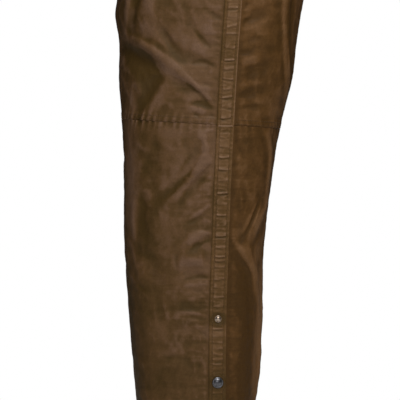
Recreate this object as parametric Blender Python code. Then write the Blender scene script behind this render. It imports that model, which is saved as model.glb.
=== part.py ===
"""Thigh-high gaiter of waxed cotton for a left leg, closed down its outer side by a placket with press studs.

It hangs open and filled out, as on a leg. +Z is up, -Y is the outer side, -X the front and +X the back.
The origin is where a belt carries the belt loop. Every size below is in millimetres. Heights count up from
the hem, and "across" counts from the leg's plumb line towards the back, as seen from the outer side.
"""

import math
from collections import namedtuple

import bmesh
import bpy
import numpy as np
from mathutils import Matrix, Vector

MM = 0.001

# Cloth
CLOTH = 1.6
SEAM_GAP = 0.3
HEM_DEPTH = 26.0
HEM_CLOTH = 3.0

# Length of the leg
KNEE_SEAM = 479.0
KNEE_SEAM_DROP = 6.7
KNEE_SEAM_DIP = 2.0
TOP_EDGE = 735.0
TOP_EDGE_RISE = 25.0

# Side placket and the underlap behind it
PLACKET_WIDTH = 23.0
PLACKET_LAP = 15.0
PLACKET_STIFFENS = 14.0
UNDERLAP_WIDTH = 27.0
PUCKER_SPACING = 13.2
PUCKER_HEIGHT = 1.5
PUCKER_CREST = 0.55
PUCKER_EDGE_SHARE = 0.25

# Fasteners on the placket
RIVET_HEIGHT = 219.0
STUD_SPACING = 84.5
STUD_HEIGHTS = (RIVET_HEIGHT - STUD_SPACING, RIVET_HEIGHT - 2 * STUD_SPACING)
STUD_DIAMETER = 15.0
STUD_DOME = 3.4
RIVET_DIAMETER = 9.0
RIVET_DOME = 3.0
BACK_DIAMETER = 10.0
BACK_DOME = 1.2
BACK_CLEARANCE = 0.3
FASTENER_EDGE = 0.6
FLAT_ROUND_FASTENER = 11.0

# Belt loop: a strap over the top edge, in front of the placket
LOOP_FIRST_COLUMN = 1
LOOP_COLUMNS = 3
LOOP_OVERLAP = 42.0
LOOP_RISE = 86.0
LOOP_OPENING = 16.0
LOOP_CLOTH = 2.4

# Mesh
FRONT_COLUMNS = 27
BACK_COLUMNS = 20
UPPER_ROWS = 19
LOWER_ROWS = 30
DISC_SEGMENTS = 16

# The leg's outline: front and back as seen from the outer side, outer and inner as seen from the front, and
# where the placket's centre line runs.
Section = namedtuple("Section", "height front back outer inner placket")
SECTIONS = [
    Section(0, -81, 60, -62, 58, 14.5),
    Section(54, -86.5, 63, -65, 60, 15),
    Section(107, -92.5, 66, -68, 63, 16),
    Section(214, -102, 73.5, -73, 69, 16.5),
    Section(322, -109, 80.5, -80, 75, 20),
    Section(403, -109.5, 89.5, -84, 79, 23),
    Section(484, -112, 103, -88, 83, 27),
    Section(538, -116, 117, -92, 88, 30),
    Section(592, -116, 123.5, -96, 94, 33.5),
    Section(630, -121, 129.5, -99, 99, 36.5),
    Section(648, -118.5, 133, -100, 101, 37.5),
    Section(700, -120, 139, -103, 106, 40),
    Section(760, -125, 144, -106, 111, 41),
]
SQUARENESS = 0.05

# The largest folds: three points of each fold's line as seen from its side, its half width and its relief,
# which is negative for a trough.
Fold = namedtuple("Fold", "side start middle end width relief")
FOLDS = [
    # thigh, outer side, in front of the placket
    Fold("outer", (-112, 580), (-86, 563), (-65, 543), 12, -7),
    Fold("outer", (-64, 542), (-75, 521), (-92, 490), 11, -5),
    Fold("outer", (-104, 556), (-90, 548), (-82, 528), 12, -3),
    Fold("outer", (-104, 595), (-78, 579), (-50, 556), 7, 3.5),
    Fold("outer", (-56, 560), (-26, 537), (13, 503), 8, 3.5),
    Fold("outer", (-44, 532), (-14, 518), (13, 490), 8, -2.2),
    Fold("outer", (-24, 610), (-3, 588), (18, 576), 9, -1.5),
    Fold("outer", (-34, 575), (-12, 561), (16, 552), 9, -2),
    Fold("outer", (-92, 690), (-73, 655), (-74, 612), 10, 3),
    Fold("outer", (-88, 705), (-91, 645), (-101, 594), 8, -4),
    # thigh, outer side, behind the placket
    Fold("outer", (52, 608), (64, 617), (84, 625), 9, -3),
    Fold("outer", (48, 543), (66, 549), (90, 556), 9, -2.5),
    Fold("outer", (48, 510), (64, 518), (86, 526), 9, -2),
    Fold("outer", (108, 720), (108, 600), (106, 505), 8, 3),
    # calf, outer side, behind the placket
    Fold("outer", (80, 470), (86, 435), (81, 376), 7, 2.5),
    Fold("outer", (46, 350), (44, 322), (52, 292), 10, -2),
    Fold("outer", (45, 317), (60, 292), (71, 214), 9, 4),
    Fold("outer", (84, 380), (68, 342), (58, 314), 8, 2.5),
    Fold("outer", (71, 214), (68, 150), (62, 60), 9, 3),
    # shin, outer side, in front of the placket
    Fold("outer", (-8, 466), (0, 430), (-46, 374), 10, 3),
    Fold("outer", (12, 422), (-7, 404), (-36, 370), 8, -2.5),
    Fold("outer", (-16, 440), (-30, 402), (-66, 378), 8, -2.5),
    Fold("outer", (-30, 315), (-12, 325), (8, 330), 9, 2.5),
    Fold("outer", (-38, 290), (-20, 302), (2, 293), 10, 2.4),
    Fold("outer", (-33, 273), (-14, 280), (6, 277), 7, -1.8),
    Fold("outer", (-94, 316), (-82, 304), (-66, 296), 10, -1.5),
    Fold("outer", (-84, 388), (-84, 352), (-84, 318), 9, -2.5),
    Fold("outer", (-72, 325), (-67, 276), (-62, 226), 14, -2.5),
    Fold("outer", (-72, 462), (-66, 425), (-74, 378), 14, -2.5),
    Fold("outer", (-46, 222), (-24, 218), (2, 211), 10, 2),
    # thigh, inner side
    Fold("inner", (-100, 640), (-60, 610), (-10, 560), 12, 4.5),
    Fold("inner", (-96, 612), (-58, 584), (-18, 536), 11, -5),
    Fold("inner", (60, 650), (84, 600), (96, 540), 12, -4.5),
    Fold("inner", (20, 640), (48, 590), (66, 528), 11, 3.5),
    Fold("inner", (-74, 540), (-40, 512), (10, 494), 10, -3.5),
    # behind and inside the knee
    Fold("inner", (20, 512), (60, 500), (98, 506), 9, -4),
    Fold("inner", (30, 462), (62, 452), (92, 458), 9, -4),
    Fold("inner", (34, 438), (60, 426), (86, 430), 9, 3),
    # calf and shin, inner side
    Fold("inner", (66, 400), (58, 330), (44, 270), 11, -5),
    Fold("inner", (40, 410), (34, 330), (22, 240), 10, 3.5),
    Fold("inner", (-84, 420), (-64, 370), (-30, 330), 12, -3.5),
    Fold("inner", (-70, 300), (-46, 280), (-12, 274), 10, 3),
    Fold("inner", (-64, 272), (-40, 254), (-6, 250), 10, -3),
    Fold("inner", (48, 220), (44, 150), (34, 80), 11, -3),
    Fold("inner", (-58, 200), (-50, 130), (-46, 60), 13, -2.5),
]
PATH_STEPS = 8
STEP_TURN = 0.002
STEP_HEIGHT = 0.25


# ---------------------------------------------------------------- the leg's surface


def column(name, height):
    """One column of SECTIONS at any height, on a smooth curve through the rows."""
    at = np.array([row.height for row in SECTIONS], float)
    value = np.array([getattr(row, name) for row in SECTIONS], float)
    slope = np.gradient(value, at)
    height = np.clip(height, at[0], at[-1])
    i = np.clip(np.searchsorted(at, height) - 1, 0, len(at) - 2)
    gap = at[i + 1] - at[i]
    t = (height - at[i]) / gap
    rise = t * t * (3 - 2 * t)
    leave = t * (1 - t) ** 2 * gap * slope[i]
    arrive = -t * t * (1 - t) * gap * slope[i + 1]
    return value[i] + (value[i + 1] - value[i]) * rise + leave + arrive


def side_share(turn):
    """How far across its half width the section has come at a turn from the outer side."""
    return (np.sin(turn) + SQUARENESS * np.sin(3 * turn)) / (1 - SQUARENESS)


def turn_at(across, height, side="outer"):
    """The turn round the leg, in radians, of a point seen across it from the outer or the inner side."""
    middle = (column("back", height) + column("front", height)) / 2
    half = (column("back", height) - column("front", height)) / 2
    low, high = -math.pi / 2, math.pi / 2
    for _ in range(40):
        turn = (low + high) / 2
        if side_share(turn) < (across - middle) / half:
            low = turn
        else:
            high = turn
    return turn if side == "outer" else math.pi - turn


def section(turn, height):
    """Points of the smooth leg, without folds."""
    front, back = column("front", height), column("back", height)
    outer, inner = column("outer", height), column("inner", height)
    across = (front + back) / 2 + (back - front) / 2 * side_share(turn)
    share = (np.cos(turn) - SQUARENESS * np.cos(3 * turn)) / (1 - SQUARENESS)
    return np.stack([across, (outer + inner) / 2 - (inner - outer) / 2 * share, height], axis=-1)


def fold_line(fold):
    """Points of the smooth leg along a fold, on a curve through the fold's three points."""
    share = np.linspace(0, 1, PATH_STEPS + 1)[:, None]
    seen = (fold.start, fold.middle, fold.end)
    a, b, c = [np.array([turn_at(across, height, fold.side), height]) for across, height in seen]
    line = a * (1 - share) * (1 - 2 * share) + b * 4 * share * (1 - share) + c * share * (2 * share - 1)
    return section(line[:, 0], line[:, 1])


def placket_turn(height, aside=0.0):
    """The turn of the placket's centre line at a height, or of a line aside from it towards the back."""
    return turn_at(column("placket", height) + aside, height)


FOLD_LINES = [fold_line(fold) for fold in FOLDS]
PLACKET_LEVELS = np.linspace(SECTIONS[0].height, SECTIONS[-1].height, 40)
PLACKET_TURNS = np.array([placket_turn(level) for level in PLACKET_LEVELS])


def relief(turn, height):
    """How far the folds lift the cloth off the smooth leg. The cloth under the placket stays smooth."""
    at = section(turn, height)
    lift = np.zeros(at.shape[:-1])
    for fold, line in zip(FOLDS, FOLD_LINES):
        nearest = np.full(lift.shape, np.inf)
        along = np.zeros(lift.shape)
        for step, (start, end) in enumerate(zip(line, line[1:])):
            way = end - start
            share = np.clip((at - start) @ way / (way @ way), 0, 1)
            away = np.linalg.norm(at - start - share[..., None] * way, axis=-1)
            along = np.where(away < nearest, (step + share) / PATH_STEPS, along)
            nearest = np.minimum(away, nearest)
        lift += fold.relief * np.exp(-((nearest / fold.width) ** 2)) * np.sin(math.pi * (0.1 + 0.8 * along))
    opening = section(np.interp(height, PLACKET_LEVELS, PLACKET_TURNS), height)
    loose = (np.linalg.norm(at - opening, axis=-1) - PLACKET_LAP) / PLACKET_STIFFENS
    loose = np.clip(loose, 0, 1)
    return lift * loose * loose * (3 - 2 * loose)


def outward(surface, turn, height):
    """Unit normals of a surface function, pointing out of the leg."""
    round_leg = surface(turn + STEP_TURN, height) - surface(turn - STEP_TURN, height)
    up_leg = surface(turn, height + STEP_HEIGHT) - surface(turn, height - STEP_HEIGHT)
    normal = np.cross(round_leg, up_leg)
    return normal / np.linalg.norm(normal, axis=-1, keepdims=True)


def cloth(turn, height):
    """Points of the outer face of the panels, folds and all."""
    return section(turn, height) + outward(section, turn, height) * relief(turn, height)[..., None]


# ---------------------------------------------------------------- panels


def knee_seam(turn):
    return KNEE_SEAM - KNEE_SEAM_DROP * np.sin(turn) - KNEE_SEAM_DIP * np.cos(turn)


def top_edge(turn):
    return TOP_EDGE + TOP_EDGE_RISE * np.cos(turn)


Panel = namedtuple("Panel", "turns heights points normals inward")


def even_turns(first, last, height, count):
    """Turns of points spaced evenly round the smooth leg."""
    turns = np.linspace(first, last, 200)
    steps = np.linalg.norm(np.diff(section(turns, np.full(200, height)), axis=0), axis=1)
    length = np.concatenate([[0], np.cumsum(steps)])
    return np.interp(np.linspace(0, length[-1], count), length, turns)


def panel(columns, rows, towards_front, upper):
    """The grid of a panel that runs from the side opening to the inseam, rows first.

    Its first column is the side opening and its second lies just past the placket, so that the placket's
    points lie on straight cloth. The rest are evenly spaced.
    """
    way = -1 if towards_front else 1
    levels = np.linspace(*((KNEE_SEAM, TOP_EDGE) if upper else (0, KNEE_SEAM)), rows + 1)
    turns = []
    for level in levels:
        middle = (column("front", level) + column("back", level)) / 2
        inseam = turn_at(middle + way * SEAM_GAP / 2, level, "inner")
        inseam -= math.tau if towards_front else 0
        lapped = placket_turn(level, way * PLACKET_LAP)
        opening = placket_turn(level, way * SEAM_GAP / 2)
        turns.append([opening, *even_turns(lapped, inseam, level, columns)])
    turns = np.array(turns)
    if upper:
        low, high = knee_seam(turns) + SEAM_GAP / 2, top_edge(turns)
    else:
        low, high = np.zeros_like(turns), knee_seam(turns) - SEAM_GAP / 2
    heights = low + (high - low) * np.linspace(0, 1, rows + 1)[:, None]
    from_edge = (high - heights) if upper else heights
    doubled = np.clip(from_edge / HEM_DEPTH, 0, 1) ** 6
    inward = HEM_CLOTH + (CLOTH - HEM_CLOTH) * doubled
    return Panel(turns, heights, cloth(turns, heights), outward(cloth, turns, heights), inward)


def material(name, colour, roughness, metallic=0.0):
    made = bpy.data.materials.new(name)
    made.use_nodes = True
    shader = made.node_tree.nodes["Principled BSDF"]
    shader.inputs["Base Color"].default_value = (*colour, 1)
    shader.inputs["Roughness"].default_value = roughness
    shader.inputs["Metallic"].default_value = metallic
    made.diffuse_color = (*colour, 1)
    return made


def wall(name, outer, inner, finish):
    """A closed wall between two grids of points, given rows first, its rims bridged.

    The rows run up and the columns round the leg, either way.
    """
    rows, columns = outer.shape[0] - 1, outer.shape[1] - 1
    bm = bmesh.new()
    rims = []
    for points in (outer, inner):
        grid = bmesh.ops.create_grid(bm, x_segments=columns, y_segments=rows, size=1)["verts"]
        for vert, point in zip(grid, points.reshape(-1, 3)):
            vert.co = point * MM
        rims += [edge for edge in bm.edges if edge.is_boundary and edge.verts[0] in set(grid)]
    bmesh.ops.bridge_loops(bm, edges=rims)
    bmesh.ops.recalc_face_normals(bm, faces=bm.faces)
    bmesh.ops.triangulate(bm, faces=bm.faces)
    finished(name, bm, finish)


def finished(name, bm, finish):
    mesh = bpy.data.meshes.new(name)
    bm.to_mesh(mesh)
    bm.free()
    mesh.shade_smooth()
    mesh.set_sharp_from_angle(angle=math.radians(40))
    mesh.materials.append(finish)
    bpy.context.scene.collection.objects.link(bpy.data.objects.new(name, mesh))


def panel_wall(name, grid, finish):
    wall(name, grid.points, grid.points - grid.normals * grid.inward[..., None], finish)


# ---------------------------------------------------------------- placket and underlap


def strip_across(width):
    """Distances from the side opening of a strip's points, towards the back."""
    return np.array([-width / 2, -width / 4, 0, width / 4, width / 2])


def on_panels(front, back, height, across, inside):
    """A point on the straight cloth beside the side opening, and its normal.

    It is worked out from the panels' own points in the two rows below and above the height, so that a strip
    laid on it never cuts the cloth's facets. With inside it lies on the panels' inner faces.
    """
    grid = front if across < 0 else back
    level = grid.heights[:, 0]
    row = int(np.clip(np.searchsorted(level, height) - 1, 0, len(level) - 2))
    share = float(np.clip((height - level[row]) / (level[row + 1] - level[row]), 0, 1))
    ends = []
    for i in (0, 1):
        point, normal = grid.points[:, i], grid.normals[:, i]
        if inside:
            point = point - normal * grid.inward[:, i, None]
        ends.append([v[row] + (v[row + 1] - v[row]) * share for v in (point, normal)])
    span = np.linalg.norm(ends[1][0] - ends[0][0])
    share = abs(across) / span
    point, normal = [a + (b - a) * share for a, b in zip(*ends)]
    return point, normal / np.linalg.norm(normal)


def puckers(low, high, seed):
    """Heights of a strip's rows, and how far each stands up: flat at its ends and round the fasteners.

    Each pucker is a crest between two valleys, unevenly spaced.
    """
    uneven = np.random.default_rng(seed)
    heights, lifts = [low], [0.0]
    while heights[-1] < high - 1.5 * PUCKER_SPACING:
        valley = heights[-1]
        spacing = PUCKER_SPACING * uneven.uniform(0.7, 1.3)
        size = PUCKER_HEIGHT * uneven.uniform(0.4, 1.0)
        crest = valley + spacing * PUCKER_CREST
        near = min(abs(crest - fastened) for fastened in (RIVET_HEIGHT, *STUD_HEIGHTS))
        heights += [crest, valley + spacing]
        lifts += [size if near > FLAT_ROUND_FASTENER else 0.0, 0.0]
    return heights + [high], lifts + [0.0]


def placket(name, front, back, seed, finish):
    """The strip over the side opening, puckered across."""
    heights, lifts = puckers(front.heights[0, 0], front.heights[-1, 0], seed)
    across = strip_across(PLACKET_WIDTH)
    edge = np.where(np.abs(across) > PLACKET_WIDTH * 0.4, PUCKER_EDGE_SHARE, 1.0)
    outer, inner = [], []
    for height, lift in zip(heights, lifts):
        for x, share in zip(across, edge):
            point, normal = on_panels(front, back, height, x, False)
            inner.append(point + normal * SEAM_GAP)
            outer.append(point + normal * (SEAM_GAP + CLOTH + lift * share))
    shape = (len(heights), len(across), 3)
    wall(name, np.reshape(outer, shape), np.reshape(inner, shape), finish)


def underlap(name, front, back, finish):
    """The strip inside the side opening."""
    heights = front.heights[:, 0]
    across = strip_across(UNDERLAP_WIDTH)
    outer, inner = [], []
    for height in heights:
        for x in across:
            point, normal = on_panels(front, back, height, x, True)
            outer.append(point - normal * SEAM_GAP)
            inner.append(point - normal * (SEAM_GAP + CLOTH))
    shape = (len(heights), len(across), 3)
    wall(name, np.reshape(outer, shape), np.reshape(inner, shape), finish)


# ---------------------------------------------------------------- fasteners


def domed_disc(name, diameter, dome, seat, axis, finish):
    """A cap with a rolled edge and a domed face, its flat back on the seat."""
    radius = diameter / 2
    ball = (radius**2 + dome**2) / (2 * dome)
    profile = [(0, 0), (radius, 0), (radius, FASTENER_EDGE)]
    for share in (0.86, 0.62, 0.32, 0):
        r = radius * share
        profile.append((r, FASTENER_EDGE + math.sqrt(ball**2 - r**2) - (ball - dome)))
    bm = bmesh.new()
    line = [bm.verts.new((r * MM, 0, z * MM)) for r, z in profile]
    edges = [bm.edges.new(pair) for pair in zip(line, line[1:])]
    turned = {"axis": (0, 0, 1), "cent": (0, 0, 0), "angle": math.tau, "steps": DISC_SEGMENTS}
    bmesh.ops.spin(bm, geom=line + edges, use_merge=True, **turned)
    bmesh.ops.remove_doubles(bm, verts=bm.verts, dist=0.01 * MM)
    bmesh.ops.recalc_face_normals(bm, faces=bm.faces)
    facing = Vector(axis).to_track_quat("Z", "Y").to_matrix().to_4x4()
    bmesh.ops.transform(bm, matrix=Matrix.Translation(Vector(seat) * MM) @ facing, verts=bm.verts)
    finished(name, bm, finish)


def fastener(front, back, height, cap, rear, metal):
    """A cap on the placket's face, and the plain back of its shank on the underlap's.

    Both are given as a name, a diameter and the height of the dome.
    """
    face = SEAM_GAP + CLOTH + SEAM_GAP
    point, normal = on_panels(front, back, height, 0, False)
    domed_disc(*cap, point + normal * face, normal, metal)
    point, normal = on_panels(front, back, height, 0, True)
    domed_disc(*rear, point - normal * (face + BACK_CLEARANCE), -normal, metal)


# ---------------------------------------------------------------- belt loop


def loop_arch(foot):
    """The strap's inner face above the top edge, from its outer leg over to its inner one: out and up."""
    half = LOOP_OPENING / 2
    bend = LOOP_RISE - half
    leg = [(foot + (half - foot) * share, bend * share) for share in (0.25, 0.5, 0.75)]
    turns = np.linspace(0, math.pi, 9)
    over = [(half * math.cos(t), bend + half * math.sin(t)) for t in turns]
    return leg + over + [(-out, up) for out, up in reversed(leg)]


def loop_ribs(front):
    """Lines that the strap follows up the outside, over the belt and down the inside.

    Each line is a list of points on the strap's inner face and a list of the ways its outer face lies.
    """
    ribs = []
    for i in range(LOOP_FIRST_COLUMN, LOOP_FIRST_COLUMN + LOOP_COLUMNS + 1):
        point, normal, depth = front.points[:, i], front.normals[:, i], front.inward[:, i]
        level = front.heights[:, i]
        lapped = [row for row in range(len(level)) if level[row] >= level[-1] - LOOP_OVERLAP]
        sideways = normal[-1] * [1, 1, 0]
        sideways = sideways / np.linalg.norm(sideways)
        centre = point[-1] - normal[-1] * depth[-1] / 2
        arch = loop_arch(depth[-1] / 2 + SEAM_GAP)
        line = [point[row] + normal[row] * SEAM_GAP for row in lapped]
        line += [centre + sideways * out + np.array([0, 0, up]) for out, up in arch]
        line += [point[row] - normal[row] * (depth[row] + SEAM_GAP) for row in reversed(lapped)]
        ways = [normal[row] for row in lapped]
        for before, after in zip(arch[:1] + arch, arch[1:] + arch[-1:]):
            along = np.array([after[0] - before[0], after[1] - before[1]])
            out, up = np.array([along[1], -along[0]]) / np.linalg.norm(along)
            ways.append(sideways * out + np.array([0, 0, up]))
        ways += [-normal[row] for row in reversed(lapped)]
        ribs.append((line, ways))
    return ribs


def belt_loop(name, ribs, finish):
    """The strap, sewn to both faces of the top edge, with room above it for a belt."""
    inner = np.array([line for line, _ in ribs]).transpose(1, 0, 2)
    ways = np.array([ways for _, ways in ribs]).transpose(1, 0, 2)
    wall(name, inner + ways * LOOP_CLOTH, inner, finish)


# ---------------------------------------------------------------- the gaiter

for old in list(bpy.data.objects):
    bpy.data.objects.remove(old)

WAXED_CLOTH = material("waxed_cloth", (0.19, 0.094, 0.029), 0.5)
WAXED_TRIM = material("waxed_trim", (0.225, 0.111, 0.035), 0.5)
NICKEL = material("nickel", (0.42, 0.43, 0.46), 0.36, 1.0)
BRASS = material("brass", (0.8, 0.63, 0.48), 0.35, 1.0)

FRONT_UPPER = panel(FRONT_COLUMNS, UPPER_ROWS, towards_front=True, upper=True)
FRONT_LOWER = panel(FRONT_COLUMNS, LOWER_ROWS, towards_front=True, upper=False)
BACK_UPPER = panel(BACK_COLUMNS, UPPER_ROWS, towards_front=False, upper=True)
BACK_LOWER = panel(BACK_COLUMNS, LOWER_ROWS, towards_front=False, upper=False)

panel_wall("front_upper", FRONT_UPPER, WAXED_CLOTH)
panel_wall("front_lower", FRONT_LOWER, WAXED_CLOTH)
panel_wall("back_upper", BACK_UPPER, WAXED_CLOTH)
panel_wall("back_lower", BACK_LOWER, WAXED_CLOTH)

placket("placket_upper", FRONT_UPPER, BACK_UPPER, 3, WAXED_TRIM)
placket("placket_lower", FRONT_LOWER, BACK_LOWER, 5, WAXED_TRIM)
underlap("underlap_upper", FRONT_UPPER, BACK_UPPER, WAXED_CLOTH)
underlap("underlap_lower", FRONT_LOWER, BACK_LOWER, WAXED_CLOTH)

RIVET_CAP = ("rivet_cap", RIVET_DIAMETER, RIVET_DOME)
RIVET_BACK = ("rivet_back", BACK_DIAMETER, BACK_DOME)
fastener(FRONT_LOWER, BACK_LOWER, RIVET_HEIGHT, RIVET_CAP, RIVET_BACK, BRASS)
for number, stud_height in enumerate(STUD_HEIGHTS, 1):
    stud_cap = (f"stud_cap_{number}", STUD_DIAMETER, STUD_DOME)
    stud_back = (f"stud_back_{number}", BACK_DIAMETER, BACK_DOME)
    fastener(FRONT_LOWER, BACK_LOWER, stud_height, stud_cap, stud_back, NICKEL)

LOOP_RIBS = loop_ribs(FRONT_UPPER)
belt_loop("belt_loop", LOOP_RIBS, WAXED_TRIM)

loop_tops = [max(line, key=lambda point: point[2]) for line, _ in LOOP_RIBS]
to_belt = Matrix.Translation(Vector(np.mean(loop_tops, axis=0)) * -MM)
for piece in bpy.context.scene.objects:
    piece.data.transform(to_belt)
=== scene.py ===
"""The looks of a thigh-high gaiter of waxed cotton: its creased cloth, sewing, studs and belt loop.

Sizes are in millimetres. A place on the leg is given by its turn, in radians from the outer side towards the
back, and its height above the hem. +X is the back, -Y the outer side and +Z up.
"""

import math
from collections import namedtuple
from functools import partial

import bmesh
import bpy
import numpy as np
from mathutils import Matrix, Vector, noise


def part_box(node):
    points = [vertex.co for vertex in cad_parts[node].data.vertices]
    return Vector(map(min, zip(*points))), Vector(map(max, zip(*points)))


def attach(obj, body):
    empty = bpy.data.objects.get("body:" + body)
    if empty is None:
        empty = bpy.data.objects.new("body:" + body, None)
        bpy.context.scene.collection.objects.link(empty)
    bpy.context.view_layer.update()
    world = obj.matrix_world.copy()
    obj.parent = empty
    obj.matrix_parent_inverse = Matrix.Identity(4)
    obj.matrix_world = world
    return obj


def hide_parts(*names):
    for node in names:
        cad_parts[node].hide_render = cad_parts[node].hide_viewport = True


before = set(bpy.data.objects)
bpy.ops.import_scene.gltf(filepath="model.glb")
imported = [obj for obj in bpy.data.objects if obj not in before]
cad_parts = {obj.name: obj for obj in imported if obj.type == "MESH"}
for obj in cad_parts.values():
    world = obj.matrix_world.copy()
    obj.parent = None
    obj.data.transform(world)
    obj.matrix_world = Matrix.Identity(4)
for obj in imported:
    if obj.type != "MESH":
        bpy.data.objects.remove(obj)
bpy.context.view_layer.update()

MM = 0.001

# Where the leg's plumb line meets the hem, seen from the belt that carries the gaiter
PLUMB_LINE = np.array([-1.555, 104.014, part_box("front_lower")[0].z / MM])

# Cloth
CLOTH = 1.6
SEAM_GAP = 0.3
INSEAM_GAP = 0.04
HEM_DEPTH = 26.0
HEM_CLOTH = 3.0
GRID_STEP = 2.1
SHARP_ANGLE = math.radians(50)

# Length of the leg
KNEE_SEAM = 479.0
KNEE_SEAM_DROP = 6.7
KNEE_SEAM_DIP = 2.0
TOP_EDGE = 735.0
TOP_EDGE_RISE = 25.0

# Felled seams: a turned lap that lies proud of the cloth, sewn down by two rows
LAP_DEPTH = 9.0
LAP_PROUD = 0.6
LAP_ROWS = (2.0, 7.4)
LAP_GROOVE = 0.16
HEM_ROW = 23.0

# Side placket, the underlap behind it and their sewing
PLACKET_WIDTH = 23.0
PLACKET_LAP = 15.0
PLACKET_STIFFENS = 14.0
PLACKET_ROW = 7.2
UNDERLAP_WIDTH = 27.0
UNDERLAP_ROW = 10.0
CLEAR_OF_PLACKET = 0.5
STRIP_MAP_START = 40

# Stitches
STITCH_PITCH = 3.3
STITCH_LENGTH = 2.5
STITCH_WIDTH = 0.6
STITCH_RELIEF = 0.42
STITCH_SEAT = 0.12

# Fasteners
RIVET_HEIGHT = 219.0
STUD_SPACING = 84.5
STUD_HEIGHTS = (RIVET_HEIGHT - STUD_SPACING, RIVET_HEIGHT - 2 * STUD_SPACING)
FASTENER_HEIGHTS = (RIVET_HEIGHT, *STUD_HEIGHTS)
CAP_SEAT = 0.15
BACK_SEAT = 0.45
TURNED_STEPS = 48

# Belt loop
LOOP_MIDDLE = 1.4
LOOP_WIDTH = 49.0
LOOP_OVERLAP = 40.0
LOOP_RISE = 86.0
LOOP_OPENING = 16.0
LOOP_CLOTH = 2.4
LOOP_ROW = 21.2
LOOP_MAP_START = 60

# Camera
CAMERA_DISTANCE = 3800.0
FRAME_WIDTH = 540.0
FRAME_MIDDLE = (-7.0, 376.4)
SENSOR = 36

# Softboxes: name, place, width and height in metres, and power
LIGHTS = (
    ("key", (450, -1550, 2200), 1.5, 0.7, 24.6),
    ("front fill", (0, -2800, 900), 1.4, 1.4, 5.3),
    ("far side", (150, 1700, 2400), 1.6, 1.6, 12),
)
FLOOR_DROP = 60
FLOOR_HALF = 2.0

# ---------------------------------------------------------------- the smooth leg

Section = namedtuple("Section", "height front back outer inner placket")
SECTIONS = [
    Section(0, -81, 60, -62, 58, 14.5),
    Section(54, -86.5, 63, -65, 60, 15),
    Section(107, -92.5, 66, -68, 63, 16),
    Section(214, -102, 73.5, -73, 69, 16.5),
    Section(322, -109, 80.5, -80, 75, 20),
    Section(403, -109.5, 89.5, -84, 79, 23),
    Section(484, -112, 103, -88, 83, 27),
    Section(538, -116, 117, -92, 88, 30),
    Section(592, -116, 123.5, -96, 94, 33.5),
    Section(630, -121, 129.5, -99, 99, 36.5),
    Section(648, -118.5, 133, -100, 101, 37.5),
    Section(700, -120, 139, -103, 106, 40),
    Section(760, -125, 144, -106, 111, 41),
]
SQUARENESS = 0.05
SEEN_STEPS = 361
STEP_TURN = 0.002
STEP_HEIGHT = 0.25
SIDE_TURNS = {"outer": (-0.5, 0.5), "inner": (0.5, 1.5), "front": (-1.0, 0.0), "back": (0.0, 1.0)}


def column(name, height):
    """One column of SECTIONS at any height, on a smooth curve through the rows."""
    at = np.array([row.height for row in SECTIONS], float)
    value = np.array([getattr(row, name) for row in SECTIONS], float)
    slope = np.gradient(value, at)
    height = np.clip(height, at[0], at[-1])
    i = np.clip(np.searchsorted(at, height) - 1, 0, len(at) - 2)
    gap = at[i + 1] - at[i]
    t = (height - at[i]) / gap
    rise = t * t * (3 - 2 * t)
    leave = t * (1 - t) ** 2 * gap * slope[i]
    arrive = -t * t * (1 - t) * gap * slope[i + 1]
    return value[i] + (value[i + 1] - value[i]) * rise + leave + arrive


def section(turn, height):
    """Points of the smooth leg."""
    front, back = column("front", height), column("back", height)
    outer, inner = column("outer", height), column("inner", height)
    sideways = (np.sin(turn) + SQUARENESS * np.sin(3 * turn)) / (1 - SQUARENESS)
    outwards = (np.cos(turn) - SQUARENESS * np.cos(3 * turn)) / (1 - SQUARENESS)
    across = (front + back) / 2 + (back - front) / 2 * sideways
    out = (outer + inner) / 2 - (inner - outer) / 2 * outwards
    return np.stack([across, out, height + 0 * turn], axis=-1)


def section_normal(turn, height):
    round_leg = section(turn + STEP_TURN, height) - section(turn - STEP_TURN, height)
    up_leg = section(turn, height + STEP_HEIGHT) - section(turn, height - STEP_HEIGHT)
    normal = np.cross(round_leg, up_leg)
    return normal / np.linalg.norm(normal, axis=-1, keepdims=True)


def turn_seen(side, place, height):
    """The turn of a point seen at a place across the leg from one of its sides."""
    low, high = SIDE_TURNS[side]
    turns = np.linspace(low * math.pi, high * math.pi, SEEN_STEPS)
    points = section(turns, np.full(SEEN_STEPS, float(height)))
    seen = points[:, 0] if side in ("outer", "inner") else points[:, 1]
    order = np.argsort(seen)
    return float(np.interp(place, seen[order], turns[order]))


# ---------------------------------------------------------------- where the wax lies, and painted shade and highlights

# A patch has a middle, as seen from a side, and a reach both ways. A crease has three points as seen from a
# side, a half width, a relief, and a share that is a crisp line instead of a soft swell.
Patch = namedtuple("Patch", "side across height wide tall wax")
Crease = namedtuple("Crease", "side start middle end width relief crisp", defaults=(0,))


def seen_rows(kind, **sides):
    """Rows of a kind, each with the side of the leg that it is seen from."""
    return [kind(side, *row) for side, rows in sides.items() for row in rows]
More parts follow.
